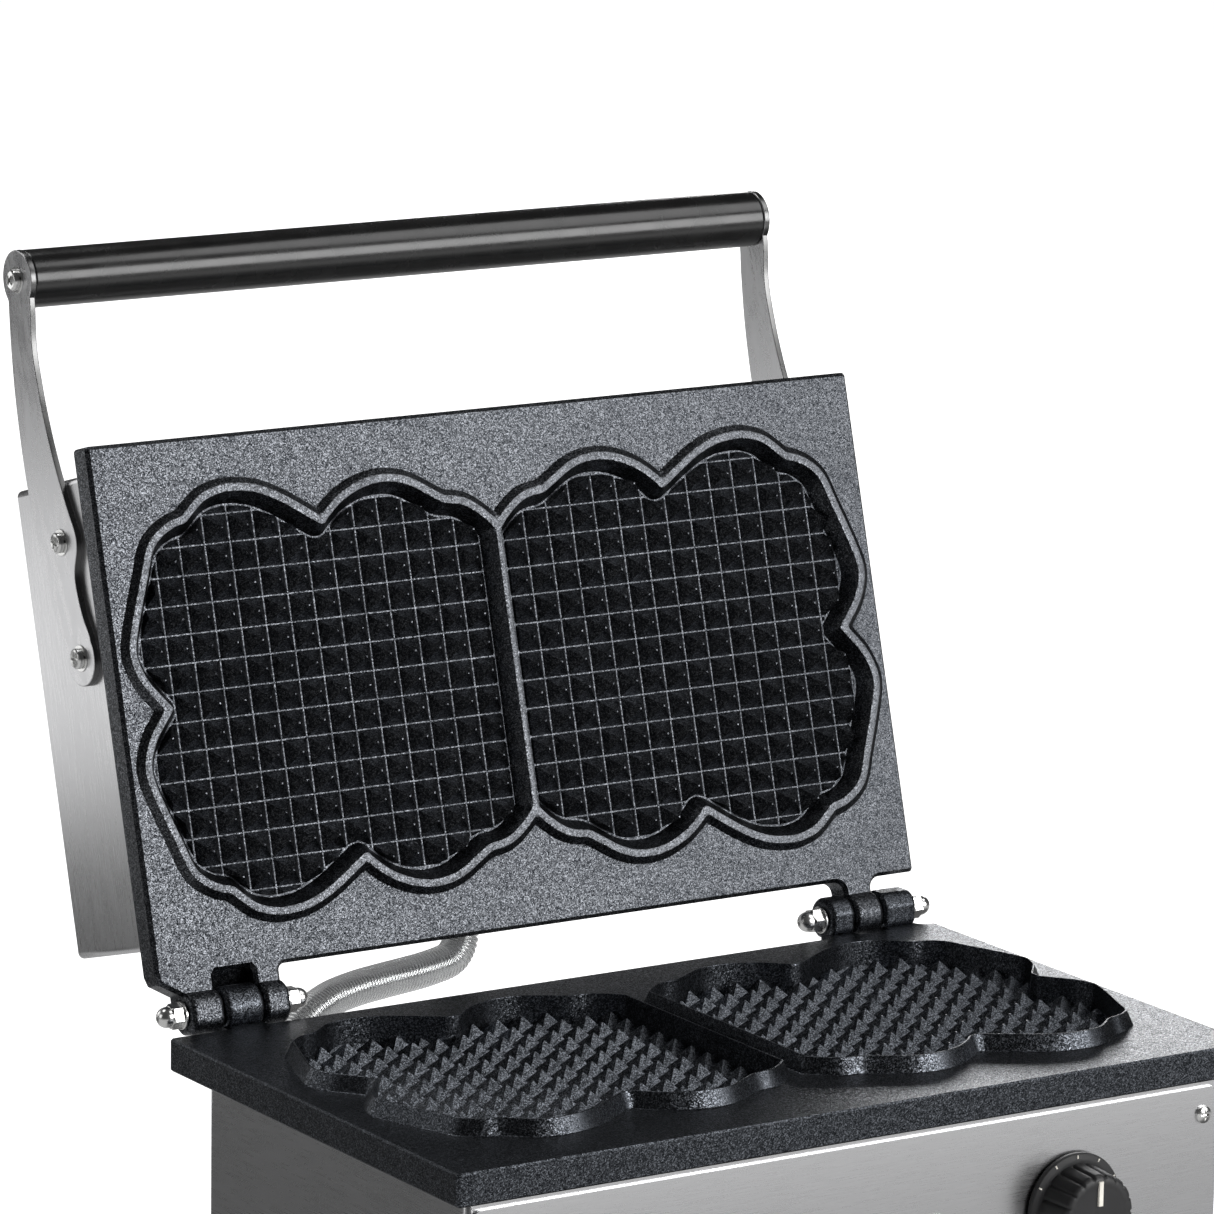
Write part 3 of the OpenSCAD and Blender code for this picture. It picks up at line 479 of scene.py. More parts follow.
def smooth(points, spans):
    """Points along the smooth curve through a list of points, as in the CAD."""
    p = [np.array(q, float) for q in points]
    made = []
    for i in range(len(p) - 1):
        a, b, c, d = p[max(i - 1, 0)], p[i], p[i + 1], p[min(i + 2, len(p) - 1)]
        for k in range(spans):
            t = k / spans
            made.append(0.5 * (2 * b + (c - a) * t + (2 * a - 5 * b + 4 * c - d) * t * t
                               + (3 * b - a - 3 * c + d) * t ** 3))
    made.append(p[-1])
    return [tuple(float(x) for x in q) for q in made]


# ---------- the cooking plates ----------

GRID = 12.7  # pitch of the waffle pyramids
COLUMNS = 15  # of pyramids on either side of the divider
ROWS = 15
FIRST_VALLEY = 5.7  # from the divider's middle to the nearest valley between pyramids
PYRAMID_H = 6.4
VALLEY_W = 0.6
TIP_W = 0.7
DIVIDER_HALF = 1.5
POCKET_MID = 131.8  # from the hinge to the middle of the pockets
PYRAMID_CLIP = -5.4  # the pyramids end this far inside the pocket's outline, hence the sign

# Half of the left pocket's outline, about the middle of the pockets, from its outer side to the divider
POCKET_EDGE = [
    (-175.5, 0), (-176.3, 1.3), (-180.4, 6.3), (-185.6, 13), (-189.2, 21.6), (-189.4, 29),
    (-185.5, 41.6), (-179.7, 57.2), (-175.4, 68.7), (-170.4, 74.2), (-164, 77.8), (-157.8, 79.6),
    (-153.4, 83.2), (-147, 88.2), (-139, 90.8), (-131.8, 91.2), (-121, 89.6), (-109, 84.4),
    (-94, 74.9), (-90.8, 73), (-88.4, 73), (-85.4, 76), (-77, 82.4), (-65.4, 87.2), (-54, 88.3),
    (-43.2, 85.8), (-30.4, 78.4), (-25.8, 76.2), (-19, 75.1), (-13.2, 72.7), (-6.1, 67.2),
    (-DIVIDER_HALF, 62.2),
]


def pocket_outline():
    """The left batter pocket's outline, from the middle of its outer side and round."""
    half = smooth(POCKET_EDGE, 6)
    end = POCKET_EDGE[-1][1]
    steps = 60
    divider = [(-DIVIDER_HALF, end - 2 * end * k / steps) for k in range(1, steps)]
    return half + divider + [(x, -y) for x, y in half[:0:-1]]


OUTLINE = np.array(pocket_outline())


def outside(points):
    """Distance of each point outside the nearer pocket's outline, negative inside."""
    points = np.array(points, float).reshape(-1, 2)
    points = np.stack([-np.abs(points[:, 0]), points[:, 1]], 1)
    start = OUTLINE
    end = np.roll(OUTLINE, -1, 0)
    along = end - start
    length2 = (along ** 2).sum(1)
    result = np.empty(len(points))
    batch = 2000
    for first in range(0, len(points), batch):
        some = points[first:first + batch]
        to = some[:, None] - start[None]
        t = np.clip((to * along).sum(2) / length2, 0, 1)
        distance = np.sqrt(((to - t[..., None] * along) ** 2).sum(2)).min(1)
        level = some[:, None, 1]
        spans = (start[None, :, 1] > level) != (end[None, :, 1] > level)
        with np.errstate(divide="ignore", invalid="ignore"):
            cross = start[:, 0] + (level - start[:, 1]) * along[:, 0] / along[:, 1]
        within = (spans & (some[:, None, 0] < cross)).sum(1) % 2 == 1
        result[first:first + batch] = np.where(within, -distance, distance)
    return result


def offset_loops(distance):
    """The outlines of both pockets moved outwards by a distance, joined where they meet.

    Points that the move has folded back over the outline are left out.
    """
    fold_slack = 0.06
    meeting_x = -0.05
    moved_out = inset(OUTLINE[::-1], -distance)[::-1] if distance else OUTLINE
    kept = np.abs(outside(moved_out) - distance) < fold_slack
    crossed = moved_out[:, 0] > meeting_x
    kept &= ~crossed
    loop = [tuple(p) for p in moved_out[kept]]
    if not crossed.any():
        return [loop, [(-x, y) for x, y in loop[::-1]]]
    last_before = int(np.argmax(crossed)) - 1
    split = int(kept[:last_before + 1].sum())
    loop = loop[split:] + loop[:split]
    return [loop + [(-x, y) for x, y in loop[::-1]]]


def sheet_over(loops, height, wanted, figures=()):
    """Triangles over a set of closed outlines and of figures, each point lifted by height(points).

    A figure is its points and the edges between them. Only triangles with a wanted middle are kept.
    """
    points = []
    edges = []
    for loop in loops:
        first = len(points)
        points += [Vector(p) for p in loop]
        edges += [(first + k, first + (k + 1) % len(loop)) for k in range(len(loop))]
    for corners, sides in figures:
        first = len(points)
        points += [Vector(p) for p in corners]
        edges += [(first + a, first + b) for a, b in sides]
    flat, _, faces, _, _, _ = delaunay_2d_cdt(points, edges, [], 0, 1e-4)
    flat = np.array([tuple(p) for p in flat])
    middles = np.array([flat[list(f)].mean(0) for f in faces])
    keep = wanted(middles)
    faces = [tuple(f) for f, k in zip(faces, keep) if k]
    z = height(flat)
    used = sorted({i for f in faces for i in f})
    place = {old: new for new, old in enumerate(used)}
    solid = [(flat[i][0], flat[i][1], z[i]) for i in used]
    return solid, [tuple(place[i] for i in f) for f in faces]


def inside_loop(points, loop):
    """Whether each point lies inside a closed outline."""
    loop = np.array(loop)
    after = np.roll(loop, -1, 0)
    crossings = np.zeros(len(points), int)
    for (x0, y0), (x1, y1) in zip(loop, after):
        if y0 == y1:
            continue
        span = (y0 > points[:, 1]) != (y1 > points[:, 1])
        crossings += span & (points[:, 0] < x0 + (points[:, 1] - y0) * (x1 - x0) / (y1 - y0))
    return crossings % 2 == 1


def pyramids(floor, trimmed):
    """The waffle pyramids of both pockets; if trimmed, those at the pocket's edge end in a steep side."""
    half = (GRID - VALLEY_W) / 2
    tip = TIP_W / 2
    rise = PYRAMID_H / (half - tip)
    trim_slope = 40
    trim_run = 0.18

    def height(points):
        x = (np.abs(points[:, 0]) - FIRST_VALLEY) % GRID - GRID / 2
        y = points[:, 1] - GRID * np.round(points[:, 1] / GRID)
        reach = np.maximum(np.abs(x), np.abs(y))
        lift = np.clip((half - reach) * rise, 0, PYRAMID_H)
        if trimmed:
            lift = np.minimum(lift, np.clip((PYRAMID_CLIP - outside(points)) * trim_slope, 0, PYRAMID_H))
        return floor + lift

    middles = [(side * (FIRST_VALLEY + (column + 0.5) * GRID), (row - ROWS // 2) * GRID)
               for side in (-1, 1) for column in range(COLUMNS) for row in range(ROWS)]
    square = ((-1, -1), (1, -1), (1, 1), (-1, 1))
    foot = [(0, 1), (1, 2), (2, 3), (3, 0)]
    top = [(4, 5), (5, 6), (6, 7), (7, 4)]
    slants = [(0, 4), (1, 5), (2, 6), (3, 7)]
    cells = []
    for x, y in middles:
        corners = [(x + s * a, y + t * a) for a in (half, tip) for s, t in square]
        if outside(corners).min() < PYRAMID_CLIP:
            cells.append((corners, foot + top + slants))
    loops = offset_loops(PYRAMID_CLIP)
    if trimmed:
        loops += offset_loops(PYRAMID_CLIP - trim_run)
    return sheet_over(loops, height, lambda m: outside(m) < PYRAMID_CLIP, cells)


KNUCKLE_R = 10.0
PIN_BORE_R = 3.1
LID_FLATS = 18.4  # over the flats of a knuckle that has them
BASE_FLATS = 18.6

# Where each knuckle starts and ends along the hinge
LID_KNUCKLES = [(-188.5, -172), (-152, -139), (160.5, 175.5)]
BASE_KNUCKLES = [(-171.5, -152.5), (147, 160), (176, 194)]


def knuckle(span, flats=2 * KNUCKLE_R):
    """A hinge knuckle along x, its end edges rounded and, if flats is less than round, four flats."""
    low, high = span
    edge = 2.6
    steps = 5

    def reach(angle, r, height):
        side = max(abs(math.cos(angle)), abs(math.sin(angle)))
        return min(r, (flats / 2 - KNUCKLE_R + r) / side) if r > PIN_BORE_R else r

    rounded = [(edge * (1 - math.sin(a)), KNUCKLE_R - edge * (1 - math.cos(a)))
               for a in (math.pi / 2 * (1 - k / steps) for k in range(steps + 1))]
    profile = [(low, PIN_BORE_R)] + [(low + x, y) for x, y in rounded]
    profile += [(high - x, y) for x, y in rounded[::-1]] + [(high, PIN_BORE_R)]
    upright = turned(profile, 72, (False, False), reach)
    return moved(upright, Matrix.Rotation(math.pi / 2, 4, "Y"))


def cast_plate(outline, middle, face, thickness, profile, floor, edge, trimmed):
    """A plate's parts: the pocketed face with its sides and back, and the pyramids.

    The face stands at a height, and the floor of the pockets is given from that face.
    """
    depths = [d for d, _ in profile]
    heights = [z for _, z in profile]
    outline = counter_clockwise(outline)
    rim = [tuple(p) for p in inset(outline, edge)]
    centre = np.array((0, middle))

    def height(points):
        return face + np.interp(outside(points - centre), depths, heights)

    def wanted(points):
        return inside_loop(points, rim) & (outside(points - centre) > depths[0])

    loops = [rim]
    for d in depths:
        loops += [[(x, y + middle) for x, y in loop] for loop in offset_loops(d)]
    face_part = sheet_over(loops, height, wanted)
    body = slab(outline, face - thickness, face, edge, steps=1, top=False)
    grid_points, grid_faces = pyramids(floor, trimmed)
    grid = [(x, y + middle, z + face) for x, y, z in grid_points], grid_faces
    return [face_part, body], grid


def lid_outline():
    """The lid plate's outline: three lugs at the hinge, with a notch between the left two."""
    (left, left_end), (inner, inner_end), (right, right_end) = LID_KNUCKLES
    lugs = [(-200, 18), (-198.6, 14), (left, 8), (left, 0), (left_end, 0)]
    lugs += [(left_end, 15), (left_end + 1.5, 16.8), (inner - 1.5, 16.8), (inner, 15)]
    lugs += [(inner, 0), (inner_end, 0)] + arc((inner_end + 3, 13), 3, 180, 90)
    lugs += arc((right - 5, 11), 5, 90, 0) + [(right, 0), (right_end, 0)]
    lugs += arc((right_end + 5, 11), 5, 180, 90)
    far = arc((198, 247), 2, 0, 90) + arc((-198, 247), 2, 90, 180)
    return far + lugs + arc((198, 18), 2, 270, 360)


def base_outline():
    """The base plate's outline: three lugs at the hinge, with a notch between the right two."""
    (left, left_end), (inner, inner_end), (right, right_end) = BASE_KNUCKLES
    lugs = arc((right_end + 5, -7), 5, 270, 180) + [(right_end, 0), (right, 0), (right, -11.8)]
    lugs += [(inner_end, -11.8), (inner_end, 0), (inner, 0)] + arc((inner - 5, -7), 5, 0, -90)
    lugs += [(left_end, -12), (left_end, 0), (left, 0), (left, -12)]
    near = arc((-200, -247), 2, 180, 270) + arc((200, -247), 2, 270, 360)
    return near + arc((200, -14), 2, 0, 90) + lugs + arc((-200, -14), 2, 90, 180)


# Distance outside the pocket's outline against height above the face: the lid's channel and
# ridge, and the base's thin rim, which enters that channel when the lid is shut
LID_FLOOR = -5
LID_PROFILE = [(PYRAMID_CLIP, LID_FLOOR), (-4.5, LID_FLOOR), (-0.05, 2.3), (0.25, 2.68), (0.8, 2.8),
               (3.4, 2.8), (3.9, 2.62), (6.5, 0.15), (6.9, 0)]
BASE_FLOOR = -6.9
BASE_PROFILE = [(-5.6, BASE_FLOOR), (-5.15, 6.9), (-5.0, 7.14), (-4.8, 7.2), (-4.5, 7.2), (-4.25, 7.05),
                (-1.2, 0.4), (-0.4, 0)]


def hinge_web():
    """The wall behind the notch that the base's left knuckle stands in, clear of the knuckle."""
    overlap = 1
    clear_r = KNUCKLE_R + 1.6
    section = [(18, -11), (18, -3)] + arc((0, 0), clear_r, -48, -70, 4)
    low = LID_KNUCKLES[0][1] - overlap
    high = LID_KNUCKLES[1][0] + overlap
    return strips([[(x, y, z) for y, z in section] for x in (low, high)])


def make_plates():
    """Both cooking plates, each a casting with its knuckles and a sheet of pyramids."""
    parts, grid = cast_plate(lid_outline(), POCKET_MID, face=2.5, thickness=13.5, profile=LID_PROFILE,
                             floor=LID_FLOOR, edge=1.7, trimmed=True)
    left, inner, right = LID_KNUCKLES
    parts += [knuckle(left, LID_FLATS), knuckle(inner, LID_FLATS), knuckle(right), hinge_web()]
    add_piece("lid_plate_casting", parts, LID, "lid", CAST_LID, ["lid_plate"])
    add_piece("lid_plate_pyramids", [grid], LID, "lid", CAST_LID, crease=12)

    parts, grid = cast_plate(base_outline(), -POCKET_MID, face=-5.6, thickness=14.4, profile=BASE_PROFILE,
                             floor=BASE_FLOOR, edge=0.8, trimmed=False)
    left, inner, right = BASE_KNUCKLES
    parts += [knuckle(left), knuckle(inner, BASE_FLATS), knuckle(right, BASE_FLATS)]
    add_piece("base_plate_casting", parts, BASE, "root", CAST_BASE, ["base_plate"])
    add_piece("base_plate_pyramids", [grid], BASE, "root", CAST_BASE, crease=12)


# ---------- arms, handle and their fasteners ----------

# In y and z of the lid's frame
HANDLE = (328.6, -48.8)
ARM_SCREWS = [(211.2, -40.3), (159.7, -36.4)]
ARM_X = 192.5  # the arms' inner faces
ARM_T = 3
BOSS_R = 13.1  # an arm's round end at the handle
FOOT_R = 12.5  # and at its lower screw
GRIP_R = 12.9
SCREW_HOLE_R = 2.6
FLAT_T = 0.5  # an arm screw's flat washer
# An arm's two long edges, in y and z of the lid's frame
ARM_BACK = [(326, -58), (318, -59.8), (300, -62.8), (274, -65.3), (240, -65.2), (206, -60.4),
            (182, -55.4), (166, -49.2), (160, -45)]
ARM_FRONT = [(160, -28), (167, -25.5), (178, -29.8), (190, -32), (198, -31.2), (207, -26.8),
             (214, -26.6), (227, -31.4), (246, -37.2), (264, -41), (280, -43), (298, -43.6),
             (318, -39.8), (326, -41)]


def arm_outline():
    """Back edge, round foot, front edge and round boss, as one closed outline."""
    circles = ((HANDLE, BOSS_R), (ARM_SCREWS[1], FOOT_R))

    def free(points):
        return [p for p in points if all(math.dist(p, c) > r for c, r in circles)]

    def round_end(centre, r, before, after):
        start = math.degrees(math.atan2(before[1] - centre[1], before[0] - centre[0]))
        end = math.degrees(math.atan2(after[1] - centre[1], after[0] - centre[0]))
        while end > start:
            end -= 360
        spare = 4
        return arc(centre, r, start - spare, end + spare, 28)

    back = free(smooth(ARM_BACK, 10))
    front = free(smooth(ARM_FRONT, 8))
    return (back + round_end(ARM_SCREWS[1], FOOT_R, back[-1], front[0])
            + front + round_end(HANDLE, BOSS_R, front[-1], back[0]))


def across(x):
    """Stands a shape drawn in y and z across the x axis, its own z pointing along +x."""
    return Matrix(((0, 0, 1, x), (1, 0, 0, 0), (0, 1, 0, 0), (0, 0, 0, 1)))


def facing(side, x, y, z):
    """Turns z to point along +x or -x, at a place in the lid's frame."""
    return Matrix.Translation((x, y, z)) @ Matrix.Rotation(side * math.pi / 2, 4, "Y")


def pan_head(r, h):
    """A pan-head screw standing on z = 0: domed head, rounded rim and a crossed recess."""
    sides = 40
    rim = 0.86 * r
    half_l, half_w = 0.60 * r, 0.13 * r
    taper = 0.72
    pit_depth = 0.55 * h

    def dome(distance):
        return h * (1 - 0.32 * (distance / r) ** 2.2)

    skirt = turned([(0, r), (0.45 * h, r), (0.55 * h, 0.97 * r), (dome(rim), rim)], sides, (True, False))
    cross = []
    for k in range(4):
        turn = math.pi / 2 * k
        for x, y in ((half_w, half_w), (half_l, half_w), (half_l, -half_w)):
            cross.append((x * math.cos(turn) + y * math.sin(turn), y * math.cos(turn) - x * math.sin(turn)))
    pit = [(taper * x, taper * y) for x, y in cross]
    circle = arc((0, 0), rim, 0, 360 - 360 / sides, sides - 1)
    rings = [circle, arc((0, 0), 0.78 * r, 0, 345, 23), cross, pit]

    def height(points):
        top = dome(np.linalg.norm(points, axis=1))
        hair = 1e-6
        deep = np.abs(points).max(1) < taper * half_l + hair
        narrow = np.abs(points).min(1) < taper * half_w + hair
        return np.where(deep & narrow, top - pit_depth, top)

    return [skirt, sheet_over(rings, height, lambda m: np.linalg.norm(m, axis=1) < rim)]


def washer(r, hole, t, edge):
    """A flat washer on z = 0 with bevelled outer edges."""
    return turned([(0, hole), (0, r - edge), (edge, r), (t - edge, r), (t, r - edge), (t, hole), (0, hole)],
                  44, (False, False))


def spring_washer(r, hole, t):
    """A split ring whose ends stand slightly apart."""
    gap = 16
    steps = 39
    rings = []
    for k in range(steps + 1):
        angle = math.radians(gap / 2 + (360 - gap) * k / steps)
        rise = 0.25 * t * k / steps
        section = ((hole, 0), (r, 0), (r, t), (hole, t))
        rings.append([(q * math.cos(angle), q * math.sin(angle), z + rise) for q, z in section])
    return strips(rings)


def acorn_nut(flats, body, dome_r):
    """An acorn nut on z = 0: chamfered hexagon, a short neck and a dome."""
    corner = flats / math.sqrt(3)
    chamfer = flats / 2 * 0.98
    neck = 1.0
    steps = 12

    def hexagon(angle, r, height):
        return min(r, flats / 2 / math.cos((angle % (math.pi / 3)) - math.pi / 6))

    profile = [(0, chamfer), (0.5, corner), (body - 0.8, corner), (body, chamfer)]
    base = turned(profile, 72, radius=hexagon)
    dome = [(body - 0.2, dome_r), (body + neck, dome_r)]
    for k in range(1, steps):
        angle = math.pi / 2 * k / steps
        dome.append((body + neck + dome_r * math.sin(angle), dome_r * math.cos(angle)))
    return [base, turned(dome, 48)]


def make_arms():
    """The two handle arms, the grip between them, and their screws with two washers each."""
    outline = arm_outline()
    for name, low in (("left_arm", -ARM_X - ARM_T), ("right_arm", ARM_X)):
        plate = moved(slab(outline, 0, ARM_T, 0.45), across(low))
        add_piece(name + "_pressing", [plate], LID, "lid", ARM_STEEL, [name])

    ends = [(0, 9), (0, GRIP_R - 1.0), (0.3, GRIP_R - 0.3), (1.0, GRIP_R)]
    profile = [(-ARM_X + z, r) for z, r in ends] + [(ARM_X - z, r) for z, r in ends[::-1]]
    tube = moved(turned(profile, 96), facing(1, 0, *HANDLE))
    add_piece("handle_grip_tube", [tube], LID, "lid", GLOSS_BLACK, ["handle_grip"])

    heads = []
    washers = []
    for side in (-1, 1):
        for y, z in [HANDLE] + ARM_SCREWS:
            at = facing(side, side * (ARM_X + ARM_T), y, z)
            on_flat = at @ Matrix.Translation((0, 0, FLAT_T))
            under_head = at @ Matrix.Translation((0, 0, 2 * FLAT_T))
            twist = Matrix.Rotation(0.3 + y, 4, "Z")
            washers.append(moved(washer(r=6.0, hole=SCREW_HOLE_R, t=FLAT_T, edge=0.22), at))
            washers.append(moved(spring_washer(r=4.4, hole=SCREW_HOLE_R, t=0.45), on_flat))
            heads += [moved(part, under_head @ twist) for part in pan_head(r=4.6, h=2.8)]
    add_piece("arm_screw_heads", heads, LID, "lid", BRIGHT, ["arm_screws", "handle_screws"])
    add_piece("arm_screw_washers", washers, LID, "lid", BRIGHT, ["arm_washers"])


def make_hinge_fasteners():
    """An acorn nut and a washer at both ends of the two hinge pins."""
    pin_ends = (
        (-1, LID_KNUCKLES[0][0]), (1, LID_KNUCKLES[1][1]),
        (-1, BASE_KNUCKLES[1][0]), (1, BASE_KNUCKLES[2][1]),
    )
    washer_gap = 0.3
    washer_t = 1.25
    nut_gap = 0.05
    nuts = []
    rings = []
    for side, x in pin_ends:
        at = facing(side, x + side * washer_gap, 0, 0)
        rings.append(moved(washer(r=6.2, hole=3.2, t=washer_t, edge=0.25), at))
        twist = Matrix.Rotation(0.35 + x, 4, "Z")
        on_washer = at @ Matrix.Translation((0, 0, washer_t + nut_gap)) @ twist
        nuts += [moved(part, on_washer) for part in acorn_nut(flats=10, body=5.4, dome_r=4.65)]
    add_piece("hinge_acorn_nuts", nuts, BASE, "root", BRIGHT, ["hinge_nuts"])
    add_piece("hinge_flat_washers", rings, BASE, "root", BRIGHT, ["hinge_washers"])


# ---------- conduit ----------

CONDUIT_R = 8.15
RIB_PITCH = 1.8
RIB_DEPTH = 1.4
# Along one rib, as shares of the pitch, against height as shares of the depth
RIB_SHAPE = ((0.0, -1.0), (0.14, -0.4), (0.32, -0.05), (0.5, 0.0), (0.68, -0.05), (0.86, -0.4))
CONDUIT_PATH = [
    (-14.5, 53.8, 6.4), (-14.5, 53.4, 5), (-15.3, 52, 0.3), (-17.7, 50.7, -3.8), (-21.3, 49.5, -7),
    (-26.1, 48.6, -8.8), (-37.5, 47.2, -10.4), (-50, 45.6, -11.2), (-64, 43.5, -11.8), (-79, 40, -12.4),
    (-94, 35.5, -14), (-108, 29, -17.5), (-119, 24, -24), (-128, 20, -33), (-135, 17, -43),
    (-141, 13, -53), (-146, 7, -62), (-149, -1, -68.5), (-150, -8, -71.4), (-150, -13.5, -72),
    (-150, -17.9, -72),
]


def make_conduit():
    """A strip-wound flexible conduit: ribs swept along its route, from the lid to the base."""
    sides = 28
    route = np.array(smooth(CONDUIT_PATH, 24))
    steps = np.linalg.norm(np.diff(route, axis=0), axis=1)
    along = np.concatenate([[0], np.cumsum(steps)])
    ribs = int(along[-1] / RIB_PITCH)

    def at(distance):
        return Vector([np.interp(distance, along, route[:, i]) for i in range(3)])

    rings = []
    side = Vector((0, 0.3, 1))
    for k in range(ribs):
        for share, depth in RIB_SHAPE:
            distance = (k + share) / ribs * along[-1]
            centre = at(distance)
            tangent = (at(distance + 1) - at(distance - 1)).normalized()
            side = (side - tangent * side.dot(tangent)).normalized()
            other = tangent.cross(side)
            r = CONDUIT_R + depth * RIB_DEPTH
            rings.append([tuple(centre + r * (side * math.cos(a) + other * math.sin(a)))
                          for a in (2 * math.pi * j / sides for j in range(sides))])
    hose = add_piece("conduit_hose", [strips(rings)], BASE, None, CONDUIT, ["lid_conduit"],
                     crease=60)
    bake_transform(hose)


# ---------- controls ----------


FLUTES = 18
FLUTE_DEPTH = 0.9
TICKS = 11
TICK_STEP = 30  # degrees
# Height and radius from the panel outwards
SKIRT = [(0, 10), (0, 23.4), (0.6, 24), (2.0, 24), (2.8, 23.4), (3.2, 21.5), (3.5, 20)]
GRIP = [(3.2, 19.8), (4.2, 19.6), (17.5, 18.6), (19.0, 17.6), (19.7, 16.2), (19.9, 14), (19.4, 12.5)]


def fluted(angle, r, height):
    """A knob's radius with its flutes, which end short of the skirt and of the rounded top."""
    if 3.6 < height < 19.4:
        return r - FLUTE_DEPTH * max(0.0, math.cos(FLUTES * angle)) ** 3
    return r


def bar(half_w, inner, outer, low, high, edge):
    """A raised bar across a knob's face, lying from an inner to an outer radius along y."""
    corners = [(-half_w, inner), (half_w, inner), (half_w, outer), (-half_w, outer)]
    return slab(corners, low, high, edge)


def make_knobs():
    """Two fluted knobs, each with a pointer and a scale of ticks on its skirt."""
    for name, body in (("thermostat_knob", "thermostat_dial"), ("timer_knob", "timer_dial")):
        low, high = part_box(name)
        centre = (low + high) / 2
        back = Matrix.Translation((centre.x, high.y, centre.z))
        at = back @ MILLIMETRES @ Matrix.Rotation(math.pi / 2, 4, "X")
        parts = [turned(SKIRT, 96), turned(GRIP, 12 * FLUTES, radius=fluted)]
        add_piece(name + "_moulding", parts, at, body, MATTE_BLACK, [name])

        marks = [bar(1.1, 5, 16, 19.0, 20.6, 0.25)]
        tick = bar(0.35, 21.7, 23.2, 2.6, 3.3, 0.08)
        first = TICK_STEP * (TICKS - 1) / 2
        for k in range(TICKS):
            marks.append(moved(tick, Matrix.Rotation(math.radians(first - TICK_STEP * k), 4, "Z")))
        add_piece(name + "_marks", marks, at, body, CERAMIC)


# ---------- the other CAD nodes ----------

# Each node's material and the width in millimetres of its edges' bevel
NODE_LOOKS = {
    "lid_cover": (SHEET, 0.5), "lid_cover_screws": (BRIGHT, 0.1),
    "lid_heating_element": (HEATER, 0), "lid_element_clamps": (PLAIN, 0.2),
    "lid_heat_shield": (PLAIN, 0.1), "lid_insulation": (WOOL, 0.8),
    "lid_terminal_block": (CERAMIC, 0.4), "lid_conduit_fitting": (PLAIN, 0.3),
    "handle_core": (PLAIN, 0.3), "arm_nuts": (PLAIN, 0.3),
    "left_hinge_pin": (PLAIN, 0.2), "right_hinge_pin": (PLAIN, 0.2),
    "base_plate_spacers": (PLAIN, 0.2), "base_casing": (SHEET_BASE, 0.5),
    "front_panel": (SHEET_BASE, 0.3), "front_panel_screws": (BRIGHT, 0.1),
    "bottom_cover": (SHEET_BASE, 0.2), "bottom_cover_screws": (BRIGHT, 0.1),
    "rubber_feet": (RUBBER, 0.8), "foot_screws": (PLAIN, 0.1),
    "base_heating_element": (HEATER, 0), "base_element_clamps": (PLAIN, 0.2),
    "base_heat_shield": (PLAIN, 0.1), "base_insulation": (WOOL, 0.8),
    "base_terminal_block": (CERAMIC, 0.4), "base_conduit_fitting": (PLAIN, 0.3),
    "cord_gland": (MATTE_BLACK, 0.4), "thermostat": (PLAIN, 0.4),
    "thermostat_shaft": (PLAIN, 0.2), "timer": (CERAMIC, 0.4),
    "timer_shaft": (PLAIN, 0.2), "power_switch_housing": (MATTE_BLACK, 0.4),
    "power_switch_rocker": (SWITCH_RED, 0.4), "heating_lamp": (AMBER, 0.3),
    "power_lamp": (GREEN, 0.3),
}


def dress_cad_nodes():
    """Gives the CAD nodes that stay visible their materials, and bevels their edges."""
    for name, (material, edge) in NODE_LOOKS.items():
        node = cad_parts[name]
        dress(node, material)
        if edge:
            weld = node.modifiers.new("weld", "WELD")
            weld.merge_threshold = 2e-6
            bevel = node.modifiers.new("edges", "BEVEL")
            bevel.width = edge * MM
            bevel.segments = 2
            bevel.limit_method = "ANGLE"
            bevel.angle_limit = math.radians(40)
            bevel.harden_normals = True


# ---------- room ----------


def light(name, place, aim, size, power):
    """A white rectangular area light that the camera doesn't see."""
    data = bpy.data.lights.new(name, "AREA")
    data.shape = "RECTANGLE"
    data.size, data.size_y = size
    data.energy = power
    lamp = bpy.data.objects.new(name, data)
    lamp.location = place
    lamp.visible_camera = False
    lamp.rotation_euler = (Vector(aim) - Vector(place)).to_track_quat("-Z", "Y").to_euler()
    bpy.context.scene.collection.objects.link(lamp)


# Directions in which black flags keep the pale floor out of the gloss, and how far each reaches
FLAGS = [((-0.53, 0.82, -0.21), 0.86, 0.96), ((0.54, -0.23, -0.81), 0.75, 0.92)]
FLAG_LEAK = 0.1
# Heights of a direction between which the floor's glow fades into the room's
FLOOR_EDGE = (-0.22, -0.04)
FLOOR_GLOW = 0.5
ROOM_GLOW = 0.05


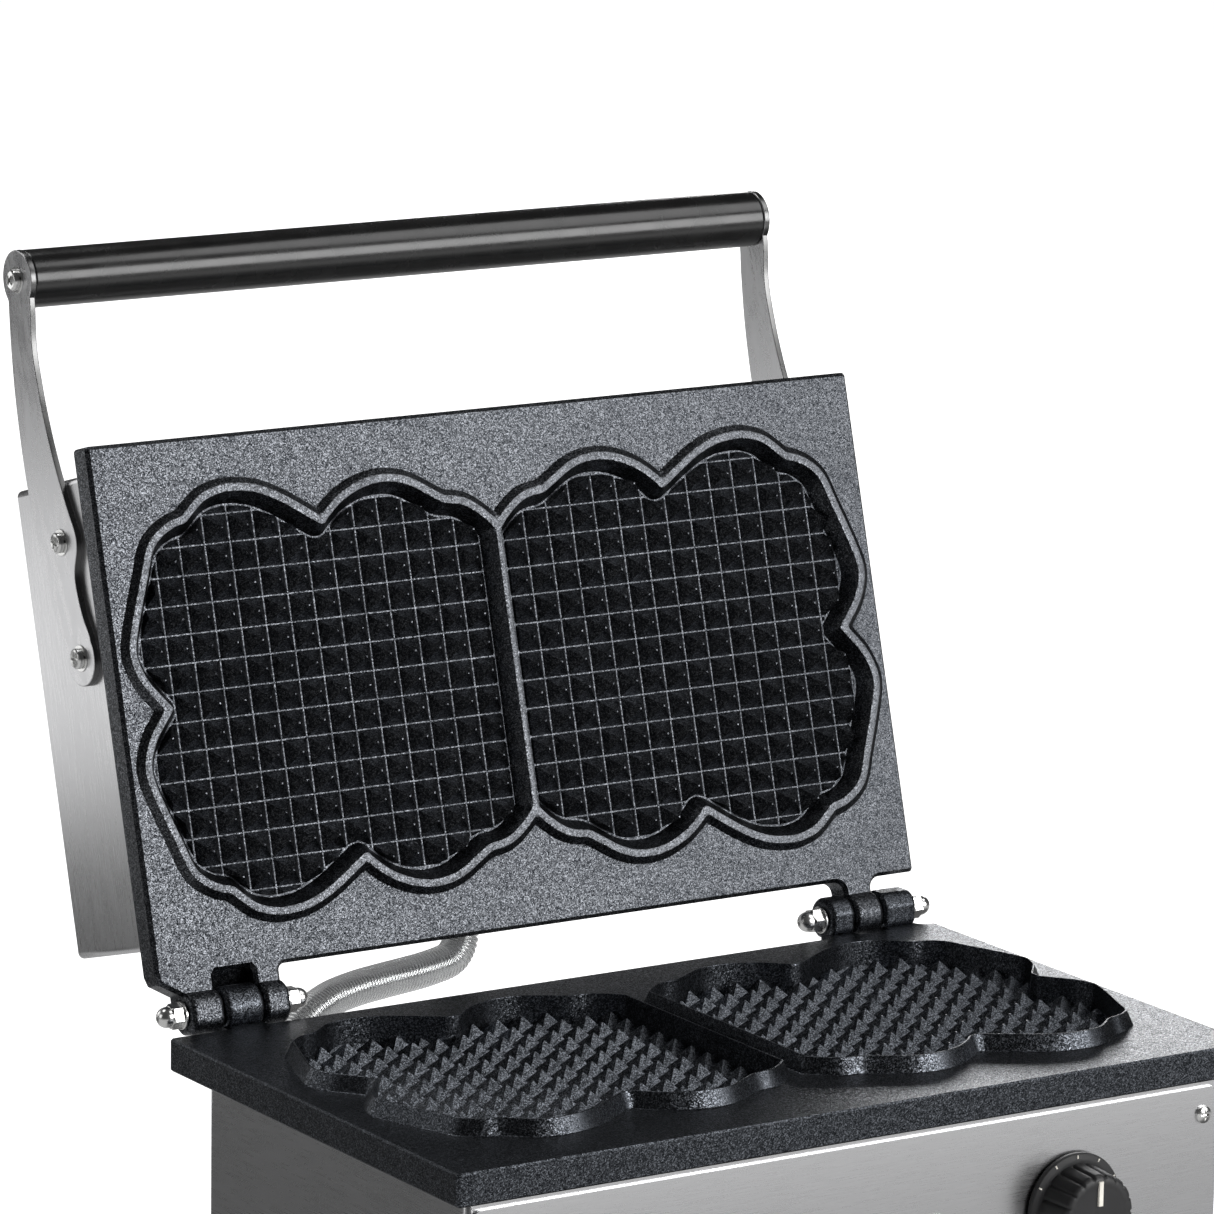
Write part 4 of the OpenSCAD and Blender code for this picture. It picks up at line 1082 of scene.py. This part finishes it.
def make_world():
    """White behind the object; in reflections a dim room above a pale floor, cut by the black flags."""
    world = bpy.data.worlds.new("room")
    world.use_nodes = True
    tree = world.node_tree

    def step(value, start, end, low, high):
        made = tree.nodes.new("ShaderNodeMapRange")
        for key, number in (("From Min", start), ("From Max", end), ("To Min", low), ("To Max", high)):
            made.inputs[key].default_value = number
        tree.links.new(value, made.inputs["Value"])
        return made.outputs["Result"]

    def times(first, second):
        made = tree.nodes.new("ShaderNodeMath")
        made.operation = "MULTIPLY"
        tree.links.new(first, made.inputs[0])
        tree.links.new(second, made.inputs[1])
        return made.outputs["Value"]

    way = tree.nodes.new("ShaderNodeTexCoord").outputs["Generated"]
    split = tree.nodes.new("ShaderNodeSeparateXYZ")
    tree.links.new(way, split.inputs["Vector"])
    floor = step(split.outputs["Z"], *FLOOR_EDGE, 1.0, 0.0)
    for direction, start, end in FLAGS:
        towards = tree.nodes.new("ShaderNodeVectorMath")
        towards.operation = "DOT_PRODUCT"
        towards.inputs[1].default_value = direction
        tree.links.new(way, towards.inputs[0])
        floor = times(floor, step(towards.outputs["Value"], start, end, 1.0, FLAG_LEAK))
    seen = tree.nodes.new("ShaderNodeLightPath").outputs["Is Camera Ray"]
    mixed = tree.nodes.new("ShaderNodeMix")
    tree.links.new(seen, mixed.inputs[0])
    tree.links.new(step(floor, 0.0, 1.0, ROOM_GLOW, FLOOR_GLOW), mixed.inputs[2])
    mixed.inputs[3].default_value = 1.0
    background = tree.nodes["Background"]
    background.inputs["Color"].default_value = (1, 1, 1, 1)
    tree.links.new(mixed.outputs[0], background.inputs["Strength"])
    bpy.context.scene.world = world


def make_room():
    """The floor, the world and the lights, all of them outside the object."""
    floor = bpy.data.meshes.new("floor")
    reach = 14
    floor.from_pydata([(-reach, -reach, 0), (reach, -reach, 0), (reach, reach, 0), (-reach, reach, 0)],
                      [], [(0, 1, 2, 3)])
    ground = bpy.data.objects.new("floor", floor)
    ground.location.z = -0.0002
    ground.visible_glossy = False
    bpy.context.scene.collection.objects.link(ground)
    finish = Finish("pale_floor", (0.9, 0.9, 0.9), roughness=0.9)
    finish.rough(finish.ramp(finish.noise(3, 2), [(0.3, 0.88), (0.7, 0.95)]))
    finish.shader.inputs["Specular IOR Level"].default_value = 0.1
    finish.shader.inputs["Emission Color"].default_value = (1, 1, 1, 1)
    finish.shader.inputs["Emission Strength"].default_value = 0.95
    dress(ground, finish.material)

    make_world()

    middle = (0, 0.05, 0.25)
    light("front_box", (1.28, -2.06, 0.95), middle, (1.6, 1.2), 39)
    light("top_strip", (-0.2, 0.9, 2.2), middle, (1.8, 0.5), 12)
    light("left_card", (-0.98, 1.28, 0.02), (-0.98, 1.28, 1), (1.3, 0.9), 4.2)
    light("left_wall", (-1.3, 2.0, 0.95), middle, (1.3, 1.2), 6)
    light("back_card", (2.35, 2.40, 0.85), middle, (1.2, 0.8), 20)
    light("top_box", (1.0, -0.5, 1.7), middle, (0.9, 0.9), 6.5)
    light("front_card", (0.4, -0.85, 0.01), (0.4, -0.85, 1), (1.4, 0.7), 1.6)
    light("left_box", (-2.3, 0.5, 0.8), middle, (1.2, 1.2), 5)
    bpy.context.scene.view_settings.view_transform = "Standard"


make_camera()
make_plates()
make_arms()
make_hinge_fasteners()
make_conduit()
make_knobs()
dress_cad_nodes()
make_room()
